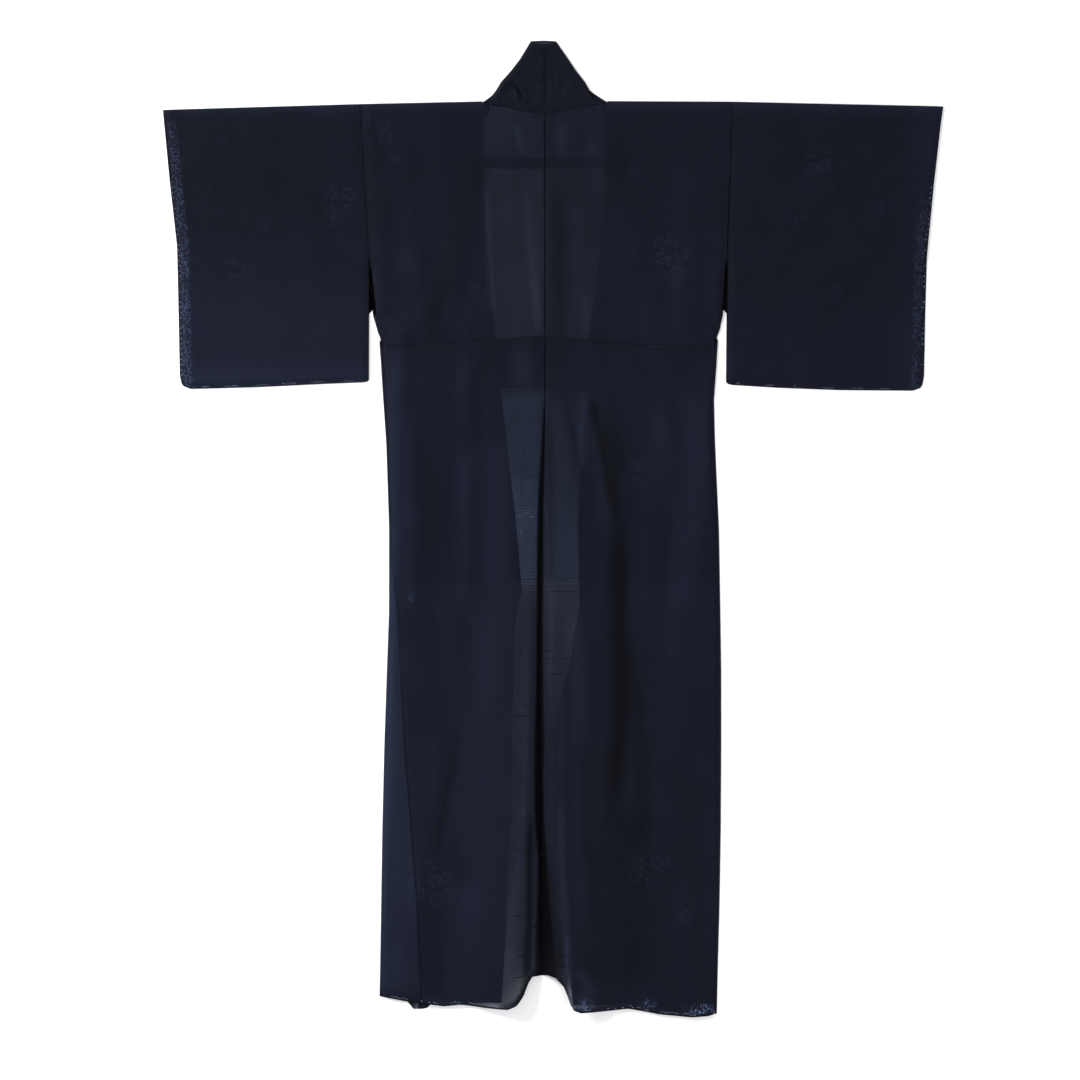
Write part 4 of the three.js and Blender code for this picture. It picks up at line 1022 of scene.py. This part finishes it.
def body_pale(side, x, y):
    """Painted light in bands (one is a stain), on the left edge's strip of front, the shoulder fold and below
    the waist.
    """
    outside = smooth((np.abs(x) - np.abs(back_side(side, y))) / 1.5 + 0.5) * (side < 0)
    from_edge = np.abs(x - body_edge(side, y)) / np.maximum(wrap_width(side, y), 8)
    strip = outside * smooth((-770 - y) / 60) * (1 - 0.55 * smooth(from_edge))
    strip = strip * read(THIN_STRIP, y, "strength")
    skirt = 0.013 * smooth((-430 - y) / 120) * (1 if side < 0 else smooth((y + 1150) / 300))
    shoulder = 0.026 * smooth((y + 16) / 10) * (np.abs(x) > NECK_HALF)
    return banded(PALES, x, y) + 0.1 * strip + skirt + shoulder


def body_open(side, x, y, above_hem):
    """How clear the cloth is: by its height, closed at the hem apart from a few loose places."""
    loose = near(x, -90, 20) + near(x, -223, 7) + near(x, 46, 6)
    hem_closes = 1 - (0.93 - 0.55 * np.clip(loose, 0, 1)) * (1 - smooth((above_hem - 8) / 8))
    # Two slivers of a single layer and the tip of the front's hem let the floor shine through.
    lens = near(x, -92, 20) * smooth((-70 - x) / 6)
    lens = lens * smooth((above_hem - 2.5) / 1.5) * smooth((8.5 - above_hem) / 2.5)
    tip = near(x, -222, 7) * smooth(-above_hem / 2) * smooth((above_hem + 12) / 3)
    open_by_height = read(OPENNESS, y, SIDE[side])
    return open_by_height * hem_closes + 2.4 * lens + 1.6 * banded([SLIVER], x, y) + 3 * tip


def body_marks(side, points):
    """All marks of a half. upper is 1 on the back and 0 on everything under it."""
    x, y, z = points[..., 0], points[..., 1], points[..., 2]
    upper = smooth((z - back_height(x, y) + 2.5) / 1.5)
    above_hem = y - read(BACK_HEM, x, "y")
    past_left = smooth((x - read(FREE_EDGE, y, "left")) / 4)
    between_fronts = past_left * smooth((read(FREE_EDGE, y, "right") - x) / 4)
    glints = np.clip(sum(bright * near(x, at, wide) for at, wide, bright in HEM_GLINTS), 0, 1)
    ribs = 0.34 * smooth((-800 - y) / 60) + 0.46 * smooth((-1370 - y) / 60)
    return {
        "shade": np.clip(body_shade(side, x, y) * upper, 0, 1),
        "pale": np.clip(body_pale(side, x, y) * upper, 0, 1),
        "figured": in_groups(FLOWER_GROUPS, x, y) * upper,
        "ribbed": 0.1 + ribs * between_fronts,
        "open": body_open(side, x, y, above_hem),
        "painted_glints": glints * smooth((above_hem - 4) / 3) * smooth((24 - above_hem) / 7) * upper,
    }


print("clearness at the seat:", round(float(read(OPENNESS, -700.0, "left")), 2))

# %% the two halves
def body_half(side):
    """One length of cloth; the tuck takes up twice its depth."""
    rows = Rows()
    tuck = waist_seam(side * 150.0) - TUCK_FOLD_Y
    lay_back(rows, side)
    lay_tuck(rows, side, tuck)
    lay_shoulder(rows, side, 2 * tuck)
    lay_front(rows, side, 2 * tuck)
    points, lengths = rows.arrays()
    return panel(f"body_{SIDE[side]}_cloth", points, lengths, BODY_GAUZE, body_marks(side, points))


body_left = body_half(-1)
body_right = body_half(1)

# %% [markdown]
# ## Sleeves
# One length of cloth each, folded at the shoulder, closed along the bottom and up to the wrist opening, and
# left open towards the body under the arm. The rows run on from the bottom edge, over the fold and back
# down underneath. The outer edge is the cloth's own selvedge, and a strip inside it is painted with glints
# in a pattern of small loops.

# %% shape of the sleeves
BOLT = {-1: 5200.0, 1: 7650.0}  # the sleeves come from further along the bolt
SLEEVE_SHARES = np.concatenate(
    [
        [0, 0.004, 0.01, 0.02, 0.035],
        np.linspace(0.05, 0.93, 44),
        [0.945, 0.958, 0.97, 0.978, 0.985, 0.99, 0.994, 0.997, 1],
    ]
)
# Distances of the rows from the bottom edge: up the back and down again on the table. The rows stand
# closer where the opening under the arm begins and ends.
UPPER_ROWS = np.concatenate([[0, 1.2, 2.5, 4, 6, 9, 12], np.arange(16, 476, 6.5)])
LOWER_ROWS = (
    440, 350, 240, 230, 224, 216, 205, 190, 175, 160, 150, 140, 132, 126, 120, 114, 108, 60, 20, 0,
)


def bottom_line(side, away):
    """A row at a distance above the sleeve's bottom edge."""
    return lambda x: read(SLEEVES[side]["bottom"], x, "y") + away


def sleeve_row(side, place):
    """A row from the body to the outer edge, and how far each of its points lies in from that edge."""
    sizes = SLEEVES[side]
    y = place(np.full(len(SLEEVE_SHARES), side * 500.0))
    for _ in range(2):
        inner = read(sizes["inner"], y, "x") + side * SEW_IN
        outer = read(sizes["outer"], y, "x")
        x = inner + SLEEVE_SHARES * (outer - inner)
        y = place(x)
    return x, y, np.abs(outer - x)


def lay_sleeve(side):
    rows = Rows()
    height = sleeve_height(side)
    for away in UPPER_ROWS:
        x, y, inside = sleeve_row(side, bottom_line(side, away))
        y = np.minimum(y, read(SHOULDER, x, "y") - 5)
        rows.add(laid(x, y, height), inside, y + BOLT[side])
    fold = float(read(SHOULDER, side * 500.0, "y")) - 2
    x, _, inside = sleeve_row(side, level_line(-4))
    for angle in SHOULDER_TURNS:
        rows.add(shoulder_point(height, x, angle), inside, fold + 2 * angle + BOLT[side])
    for away in LOWER_ROWS:
        x, y, inside = sleeve_row(side, bottom_line(side, away))
        # Under the arm the lower layer reaches in over the body's lower layer and closes the view; there it
        # is painted dark, as the shade inside the opening.
        flap = smooth((y + 364) / 8) * smooth((-258 - y) / 8) * (SLEEVE_SHARES < 0.02)
        reach = (np.abs(x - body_edge(side, y)) + 1.5) * flap
        points = np.stack([x - side * reach, y, FRONT_MID + 0.6 * flap], axis=-1)
        rows.add(points, inside, BOLT[side] - y)
    return rows.arrays()


print(len(UPPER_ROWS) + len(SHOULDER_TURNS) + len(LOWER_ROWS), "rows in a sleeve")

# %% [markdown]
# ## Shade and light of the sleeves
# The upper half of a sleeve is painted in more shade, and soft bands of painted shade, like folds, run down
# from the shoulder. The two sleeves aren't alike: the left one lies nearer to the light, is painted paler
# towards its bottom and has more painted glints along its outer edge.

# %% marks of the sleeves
# Bands of painted shade on the sleeves: the reach in mm, how dark it is, then the bent line.
SLEEVE_SHADES = [
    (16, 0.12, (620, -60), (540, -130), (450, -220), (380, -330)),
    (18, 0.1, (655, -150), (600, -230), (520, -330), (450, -420)),
    (22, 0.14, (580, -30), (470, -80), (380, -120)),
    (14, 0.03, (640, -300), (580, -370), (520, -440)),
    (26, 0.1, (-560, -50), (-520, -120), (-430, -170)),
    (17, 0.12, (-330, -300), (-400, -370), (-470, -430)),
    (10, 0.07, (-345, -380), (-400, -430), (-440, -468)),
]
OUTER_EDGE_GLINTS = {-1: 0.27, 1: 0.13}  # how strongly the painted glints along the outer edge show
SLIT_HALF = {-1: 0.8, 1: 1.6}  # half width of the painted shade beside the opening under the arm
SLEEVE_OPENNESS = {-1: 1.0, 1: 0.7}


def sleeve_shade(side, x, y, low):
    """Painted shade of the seam, inside the opening under the arm and of the folds; low is where the cloth
    lies underneath.
    """
    near_body = np.abs(x - read(SLEEVES[side]["inner"], y, "x"))
    seam = 0.6 * (1 - smooth((near_body - 0.8) / 1.6)) * smooth((y - ARMHOLE_Y) / 10) * ~low
    under_arm = 0.95 * smooth((14 - near_body) / 6) * smooth((y + 400) / 20) * smooth((-255 - y) / 12) * low
    slit = 0.95 * (1 - smooth((near_body - SLIT_HALF[side]) / 1.2))
    slit = slit * smooth((y + 372) / 8) * smooth((-264 - y) / 10) * ~low
    # The upper half of a sleeve is painted in more shade, with bands of painted shade on top.
    if side < 0:
        painted_drape_shade = 0.26 * smooth((y + 290) / 130) * smooth((-8 - y) / 26) * (1 - 0.5 * smooth((x + 400) / 60))
    else:
        painted_drape_shade = 0.17 * smooth((-8 - y) / 26) * (1 - smooth((x - 600) / 70))
        painted_drape_shade = painted_drape_shade * (1 - 0.9 * smooth((-300 - y) / 110))
    painted_drape_shade = (painted_drape_shade + banded(SLEEVE_SHADES, x, y)) * ~low
    return np.maximum(np.maximum(seam, under_arm), np.maximum(slit, painted_drape_shade))


def sleeve_light(side, y, inside):
    """Painted light: paler near the bottom, along the outer edge and on the shoulder fold."""
    if side < 0:
        lit = 0.022 * smooth((-250 - y) / 150) + 0.026 * smooth((-440 - y) / 40)
    else:
        lit = 0.014 * (1 - smooth((inside - 20) / 55)) + 0.002 * smooth((-320 - y) / 80)
    return lit + 0.026 * smooth((y + 20) / 10)


def sleeve_marks(side, points, lengths):
    x, y, z = points[..., 0], points[..., 1], points[..., 2]
    inside = lengths[..., 0]
    low = z < 1.0
    tall = smooth((-20 - y) / 30) if side < 0 else smooth((-150 - y) / 60)
    strip = smooth((inside - 4) / 3) * smooth((24 - inside) / 6) * (z > 1.5) * tall
    return {
        # In the strip along the outer edge: painted glints, and on the left a little painted light.
        "painted_glints": strip * OUTER_EDGE_GLINTS[side],
        "pale": 0.015 * strip * (side < 0) + sleeve_light(side, y, inside) * ~low,
        "shade": sleeve_shade(side, x, y, low),
        "open": np.full(y.shape, SLEEVE_OPENNESS[side]),
        "figured": in_groups(FLOWER_GROUPS, x, y) * ~low,
        "ribbed": np.full(y.shape, 0.1),
    }


print(len(SLEEVE_SHADES), "bands of shade on the sleeves")

# %% the two sleeves
def sleeve(side):
    points, lengths = lay_sleeve(side)
    marks = sleeve_marks(side, points, lengths)
    return panel(f"sleeve_{SIDE[side]}_cloth", points, lengths, BODY_GAUZE, marks)


sleeve_left = sleeve(-1)
sleeve_right = sleeve(1)

# %% [markdown]
# ## Overlap panels
# The okumi is a narrow strip that widens each front, so that one can lie over the other. It runs slanting
# from its tip beside the neck down to the hem. It lies underneath here and only darkens the back where it
# passes behind, so plain flat rows are enough. Down to the collar's end its inner edge is sewn to the
# collar.

# %% overlap panels
COLLAR_GAP = 0.3  # between edges that meet


def okumi(side):
    rows = Rows()
    beside_collar = np.linspace(-266, COLLAR_END_Y, 24)
    below_collar = np.concatenate([[COLLAR_END_Y - COLLAR_GAP], np.linspace(-845, HEM_Y, 34)])
    for y in np.concatenate([beside_collar, below_collar]):
        seam = read(OKUMI_SEAM, y, SIDE[side]) - side * SEW_IN
        inner = read(FREE_EDGE, y, SIDE[side])
        if y >= COLLAR_END_Y:
            inner = inner + side * (COLLAR_WIDTH + COLLAR_GAP)
        x = seam + np.linspace(0, 1, 19) * (inner - seam)
        points = np.stack([x, hemmed(FRONT_HEM, x, y), np.full(len(x), FRONT_MID)], axis=-1)
        rows.add(points, np.abs(x - seam), -y)
    points, lengths = rows.arrays()
    return panel(f"okumi_{SIDE[side]}_cloth", points, lengths, BODY_GAUZE)


okumi_left = okumi(-1)
okumi_right = okumi(1)

# %% [markdown]
# ## Collar
# A wide collar is a long band, folded double. Here it lies opened out behind the neck, so its free edge
# stands up as a flat peak over the back. Stations along it give the sewn edge and the free edge, from the
# band's end on one front round the nape to the other, and the cloth between them is straight. A soft crease
# at its centre and a small roll at each foot come on top.

# %% stations of the collar
# Where the collar turns from the front to the back: its sewn edge, and its free edge on the left and right.
# None is read from the neck seam.
TURN = [
    dict(sewn=(107.4, -2.4, 1.0), left=(-95, -12, 1.0), right=(95, -12, 1.0)),
    dict(sewn=(107.4, 1.6, 3.1), left=(-97, 6, 1.6), right=(96, 6, 1.6)),
    dict(sewn=(107.2, 0.4, 5.5), left=(-92, 12, 3.3), right=(90, 12, 3.3)),
    dict(sewn=(90, None, 4.6), left=(-85, 21, 3.9), right=(77, 21, 3.9)),
    dict(sewn=(69, None, 4.8), left=(-76, 36, 3.8), right=(69, 36, 3.8)),
    dict(sewn=(52, None, 4.8), left=(-59, 55, 3.5), right=(54, 55, 3.5)),
    dict(sewn=(35, None, 4.8), left=(-43, 76, 3.2), right=(40, 76, 3.2)),
    dict(sewn=(17, None, 4.8), left=(-24.5, 106.5, 2.8), right=(19, 106.5, 2.8)),
]
NAPE = [(0, -19.5, 4.8), (-2, 107.5, 3.2)]  # the sewn edge and the free edge at the centre
COLLAR_MID = 0.6  # height of the collar on the fronts
ON_FRONT = (-450, -402, -340, -272, -230, -185, -140, -110, -80, -55, -30)


def collar_seam(side, y):
    if y > OKUMI_TIP_Y:
        return read(FRONT_NECK, y, SIDE[side]) - side * 0.2
    return read(FREE_EDGE, y, SIDE[side]) + side * COLLAR_WIDTH


def collar_stations(side):
    """From the band's end on the front up to the nape: the sewn edge and the free edge."""
    stations = []
    for y in ON_FRONT:
        free = read(FREE_EDGE, y, SIDE[side])
        stations.append([(collar_seam(side, y), y, COLLAR_MID), (free, y, COLLAR_MID)])
    for row in TURN:
        x, y, z = row["sewn"]
        if y is None:
            y = float(read(NECK_SEAM, x, "y")) - 2.5
        stations.append([(side * x, y, z), row[SIDE[side]]])
    return np.array(stations, float)


print(len(ON_FRONT) + len(TURN), "stations on each side of the nape")

# %% the collar behind the neck
COLLAR_CENTRE = 0.6
# Rolls and creases: a bent line, its height and its reach in mm.
CREASES = [
    ([(-84, 17), (-72, 27), (-61, 29), (-52, 24), (-47, 13), (-44, 2)], 3.6, 6),
    ([(-80, 8), (-66, 12), (-54, 6)], -1.4, 7),
    ([(68, 27), (76, 16), (86, 3)], 2.6, 5),
    ([(-50, 58), (-30, 30), (-14, -2)], -0.8, 8),
    ([(46, 56), (30, 28), (16, -4)], -0.8, 8),
    ([(-60, -4), (0, -10), (60, -4)], 1.1, 5),
]
# Shade behind the rolls: a bent line, how dark it is and its reach in mm.
CREASE_SHADES = [
    ([(-83, 20), (-72, 30), (-60, 31.5), (-50, 26), (-44, 14), (-41, 2)], 0.8, 3.2),
    ([(69, 29), (77, 17), (87, 4)], 0.7, 3.0),
    ([(-44, 4), (-20, -6), (0, -10)], 0.35, 3.0),
]


def collar_relief(x, y, shares):
    """The crease at the centre, a slight wave and the rolls at the feet."""
    crease = -1.0 * (1 - smooth(np.abs(x - COLLAR_CENTRE) / 7))
    rise = crease * np.sin(math.pi * np.minimum(1, shares + 0.15))
    rise += 0.25 * np.sin(x / 16.0) * np.sin(y / 27.0 + 0.6)
    for line, size, reach in CREASES:
        away, share = near_line(line, x, y)
        rise += size * (1 - smooth(away / reach)) * smooth(5 * share) * smooth(5 * (1 - share))
    return rise


def collar_marks(x, y, stand):
    """A lit edge at the peak, and shade in the crease and behind the rolls, where the collar stands up."""
    top = smooth((y - 102.5) / 2) * smooth((106.5 - y) / 2) * smooth((x + 23) / 4) * smooth((12 - x) / 6)
    dark = 0.6 * (1 - smooth((np.abs(x - COLLAR_CENTRE) - 1.4) / 4))
    dark = dark * smooth((y + 14) / 20) * smooth((101 - y) / 16)
    for line, amount, reach in CREASE_SHADES:
        away, share = near_line(line, x, y)
        ends = smooth(6 * share) * smooth(6 * (1 - share))
        dark = np.maximum(dark, amount * (1 - smooth((away - 0.6) / reach)) * ends)
    return {"pale": 0.26 * top * stand, "shade": dark * stand}


def over_collar():
    stations = np.concatenate([collar_stations(-1), np.array([NAPE], float), collar_stations(1)[::-1]])
    places = range(len(stations))
    steps = np.linspace(0, len(stations) - 1, 6 * (len(stations) - 1) + 1)
    sewn, free = (
        np.stack([np.interp(steps, places, stations[:, edge, axis]) for axis in range(3)], axis=-1)
        for edge in range(2)
    )
    shares = np.linspace(0, 1, 33)
    points = sewn[:, None] + shares[None, :, None] * (free - sewn)[:, None]
    x, y = points[..., 0], points[..., 1]
    stand = smooth((y + 14) / 12) * smooth((points[..., 2] - 1.4) / 1.5)
    points[..., 2] += collar_relief(x, y, shares) * stand
    along = (steps * 22)[:, None]
    lengths = np.stack(np.broadcast_arrays(shares * COLLAR_WIDTH * 2, along), axis=-1)
    return panel("over_collar_cloth", points, lengths, COLLAR_GAUZE, collar_marks(x, y, stand))


collar = over_collar()

# %% the collar's ends on the fronts
def collar_end(side):
    rows = Rows()
    for y in np.linspace(OVER_COLLAR_END_Y - COLLAR_GAP, COLLAR_END_Y, 28):
        free = read(FREE_EDGE, y, SIDE[side])
        x = free + side * np.linspace(0, COLLAR_WIDTH, 12)
        rows.add(np.stack([x, np.full(12, y), np.full(12, COLLAR_MID)], axis=-1), np.abs(x - free), -y)
    points, lengths = rows.arrays()
    return panel(f"collar_{SIDE[side]}_cloth", points, lengths, COLLAR_GAUZE)


collar_left = collar_end(-1)
collar_right = collar_end(1)

# %% [markdown]
# ## Linings
# An unlined garment still has a thin silk lining where it is strained: one at the shoulders and one at the
# seat. Both hang one layer under the back, and their hems show through it as a darker band and a straight
# edge. The seat lining needs close points in the middle, where it follows the deep fold.

# %% shoulder lining
LINING_HEM = 16.5  # the turned-up hem of the shoulder lining


def shoulder_lining():
    left, right, bottom, corner = -230.0, 208.0, -113.0, 60.0
    x = np.concatenate([np.linspace(left, -170, 16), np.linspace(-165, 143, 60), np.linspace(148, right, 16)])
    beyond = np.clip(np.maximum(left + corner - x, x - (right - corner)), 0, corner)
    lowest = bottom + corner - np.sqrt(corner * corner - beyond * beyond)
    highest = read(NECK_SEAM, np.abs(x), "y") - 5
    rows = Rows()
    for share in np.linspace(0, 1, 44):
        y = lowest + share * (highest - lowest)
        rows.add(laid(x, y, back_height, LAYER), x, y)
    points, lengths = rows.arrays()
    above_edge = points[..., 1] - lowest
    marks = {"shade": 0.92 * (1 - smooth((above_edge - LINING_HEM) / 2))}
    return panel("shoulder_lining_cloth", points, lengths, LINING_GAUZE, marks)


lining_shoulder = shoulder_lining()

# %% seat lining
SEAT_SHARE = 0.935  # how far it reaches from the centre seam towards the side seams


def seat_lining():
    rows = Rows()
    for y in np.linspace(COLLAR_END_Y, -497, 56):
        centre = read(CENTRE_SEAM, y, "x")
        left, right = (centre + SEAT_SHARE * (back_side(side, y) - centre) for side in (-1, 1))
        fold = centre + np.linspace(-60, 60, 60)
        x = np.concatenate([np.linspace(left, fold[0], 30)[:-1], fold, np.linspace(fold[-1], right, 30)[1:]])
        rows.add(laid(x, np.full(len(x), y), back_height, LAYER), x, y)
    points, lengths = rows.arrays()
    marks = {"shade": valley_shade(points[..., 0], points[..., 1])}
    return panel("seat_lining_cloth", points, lengths, LINING_GAUZE, marks)


lining_seat = seat_lining()

# %% [markdown]
# ## Hand stitching
# The tuck is held with running stitches, and the sleeve bottoms and the hem with slip stitches, of which
# only dots show. They could be a pattern in the material, but a stitch lies on the cloth and catches light,
# so each dot is a short bead of thread. A seeded draw makes them uneven, as a hand does. Most stitches of
# the tuck look navy like the cloth, and only in some stretches slate thread shows.

# %% one row of stitches
def stitches(name, spots, material, size):
    """spots are (x, y, z, angle) in mm and radians, and size is half the length, width and height of one."""
    mesh = bmesh.new()
    for x, y, z, angle in spots:
        made = bmesh.ops.create_uvsphere(mesh, u_segments=6, v_segments=4, radius=1)
        scale = 0.7 + 0.6 * RNG.random()
        for vertex in made["verts"]:
            px, py, pz = vertex.co.x * size[0] * scale, vertex.co.y * size[1], vertex.co.z * size[2]
            turned_x = px * math.cos(angle) - py * math.sin(angle)
            turned_y = px * math.sin(angle) + py * math.cos(angle)
            vertex.co = (np.array((turned_x, turned_y, pz)) + (x, y, z) - CENTRE) / 1000
    data = bpy.data.meshes.new(name)
    mesh.to_mesh(data)
    mesh.free()
    data.materials.append(material)
    piece = bpy.data.objects.new(name, data)
    bpy.context.collection.objects.link(piece)
    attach(piece, "root")
    print(name, len(spots), "stitches")
    return piece


def on_cloth(height, x, y, angle):
    """A spot on top of the cloth."""
    return x, y, float(height(np.array([x]), np.array([y]))[0]) + CLOTH, angle


# %% stitches of the tuck
def waist_stitches(side):
    slate, navy = [], []
    for x in np.arange(8, 284, 5.6):
        x = side * (x + RNG.uniform(-0.8, 0.8))
        y = waist_seam(x) - 2.6 + RNG.uniform(-0.4, 0.4)
        shows = (180 < x < 224 and RNG.random() < 0.7) or (-280 < x < -170 and RNG.random() < 0.22)
        (slate if shows else navy).append(on_cloth(back_height, x, y, 0.05 * side))
    return (
        stitches(f"waist_stitches_slate_{SIDE[side]}", slate, WAIST_THREAD, (1.1, 0.5, 0.3)),
        stitches(f"waist_stitches_navy_{SIDE[side]}", navy, NAVY_THREAD, (1.2, 0.45, 0.3)),
    )


waist_left, waist_right = waist_stitches(-1), waist_stitches(1)

# %% stitches of the sleeves
CUFF_STITCHED = {-1: 0.75, 1: 0.5}  # share of the stitches along the outer edge that show


def sleeve_stitches(side):
    sizes, height = SLEEVES[side], sleeve_height(side)
    spots = []
    for start in np.arange(332, 625, 50):
        for k in range(RNG.integers(3, 7)):
            x = side * (start + 4.2 * k + RNG.uniform(-0.8, 0.8))
            y = float(read(sizes["bottom"], x, "y")) + RNG.uniform(2.2, 4.6)
            spots.append(on_cloth(height, x, y, RNG.uniform(-0.5, 0.5)))
    for y in np.arange(-480, -130, 9.0):
        if RNG.random() < CUFF_STITCHED[side]:
            x = float(read(sizes["outer"], y, "x")) - side * RNG.uniform(2.4, 5.0)
            spots.append(on_cloth(height, x, y, 1.57 + RNG.uniform(-0.5, 0.5)))
    return stitches(f"sleeve_stitches_{SIDE[side]}", spots, PALE_THREAD, (1.0, 0.45, 0.3))


sleeve_dots = {side: sleeve_stitches(side) for side in (-1, 1)}

# %% stitches of the hem
HEM_SEWN_TO = {-1: 276, 1: 292}


def hem_stitches(side):
    spots = []
    for x in np.arange(70, 290, 13.0):
        if RNG.random() < 0.6:
            for k in range(RNG.integers(1, 4)):
                at = side * (x + 4 * k)
                if abs(at) < HEM_SEWN_TO[side]:
                    y = read(BACK_HEM, at, "y") + RNG.uniform(3, 6)
                    spots.append(on_cloth(back_height, at, y, RNG.uniform(-0.4, 0.4)))
    return stitches(f"hem_stitches_{SIDE[side]}", spots, PALE_THREAD, (1.1, 0.45, 0.3))


hem_dots = {side: hem_stitches(side) for side in (-1, 1)}

# %% [markdown]
# ## What each piece stands for
# Every panel replaces its solid, which is hidden. The list also gives, for each panel, a slot for its cloth,
# the size it was cut to, the area of it that is modelled and the stitches sewn on it, but these aren't used
# here.

# %% hide the solids
SHEETS = [
    (body_left, "body_left", "cloth", (0.38, 3.3), 0.644, [*waist_left, hem_dots[-1]]),
    (body_right, "body_right", "cloth", (0.38, 3.3), 0.739, [*waist_right, hem_dots[1]]),
    (sleeve_left, "sleeve_left", "cloth", (0.36, 1.0), 0.322, [sleeve_dots[-1]]),
    (sleeve_right, "sleeve_right", "cloth", (0.38, 1.0), 0.345, [sleeve_dots[1]]),
    (okumi_left, "okumi_left", "cloth", (0.152, 1.32), 0.129, []),
    (okumi_right, "okumi_right", "cloth", (0.152, 1.32), 0.135, []),
    (collar, "over_collar", "collar_cloth", (0.11, 1.25), 0.060, []),
    (collar_left, "collar_left", "collar_cloth", (0.055, 0.382), 0.021, []),
    (collar_right, "collar_right", "collar_cloth", (0.055, 0.382), 0.021, []),
    (lining_shoulder, "shoulder_lining", "lining_cloth", (0.438, 0.103), 0.044, []),
    (lining_seat, "seat_lining", "lining_cloth", (0.54, 0.33), 0.178, []),
]
for piece, solid, slot, flat, area, extras in SHEETS:
    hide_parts(solid)
print(len(SHEETS), "sheets declared")

# %% [markdown]
# ## Floor, light and camera
# A pale floor in a bright studio: one large soft light from the upper left, a weaker one from the lower
# right, and light from all round. The camera hangs straight over the garment, far enough away that the
# picture is almost a plan.

# %% floor
def floor():
    mesh = bmesh.new()
    bmesh.ops.create_grid(mesh, x_segments=1, y_segments=1, size=6)
    data = bpy.data.meshes.new("floor")
    mesh.to_mesh(data)
    mesh.free()
    data.materials.append(dull("matt_white_floor", "#f4f4f5", 0.9))
    piece = bpy.data.objects.new("floor", data)
    bpy.context.collection.objects.link(piece)
    return piece


ground = floor()

# %% light
def soft_light(name, place, size, power):
    """A square lamp that faces the middle of the garment."""
    lamp = bpy.data.lights.new(name, "AREA")
    lamp.shape = "SQUARE"
    lamp.size = size
    lamp.energy = power
    thing = bpy.data.objects.new(name, lamp)
    bpy.context.collection.objects.link(thing)
    thing.location = place
    thing.rotation_euler = (-Vector(place)).to_track_quat("-Z", "Y").to_euler()
    return thing


key = soft_light("key", (-3.2, 2.0, 2.2), 1.4, 250)
fill = soft_light("fill", (2.6, -2.0, 3.4), 3.0, 90)
world = bpy.data.worlds.new("studio")
bpy.context.scene.world = world
world.use_nodes = True
background = world.node_tree.nodes["Background"]
background.inputs["Color"].default_value = (1, 1, 1, 1)
background.inputs["Strength"].default_value = 0.7
bpy.context.scene.view_settings.view_transform = "Standard"
print("key light", key.data.energy, "W, fill light", fill.data.energy, "W")

# %% camera
CAMERA_HEIGHT = 6.0
PICTURE_WIDTH = 1.8695  # in metres, at the height of the table
SENSOR = 36
lens = bpy.data.cameras.new("camera")
lens.sensor_width = SENSOR
lens.lens = SENSOR * CAMERA_HEIGHT / PICTURE_WIDTH
lens.clip_end = 50
camera = bpy.data.objects.new("camera", lens)
bpy.context.collection.objects.link(camera)
camera.location = (-0.02296, -0.02145, CAMERA_HEIGHT)
bpy.context.scene.camera = camera
print("focal length", round(lens.lens, 1), "mm")
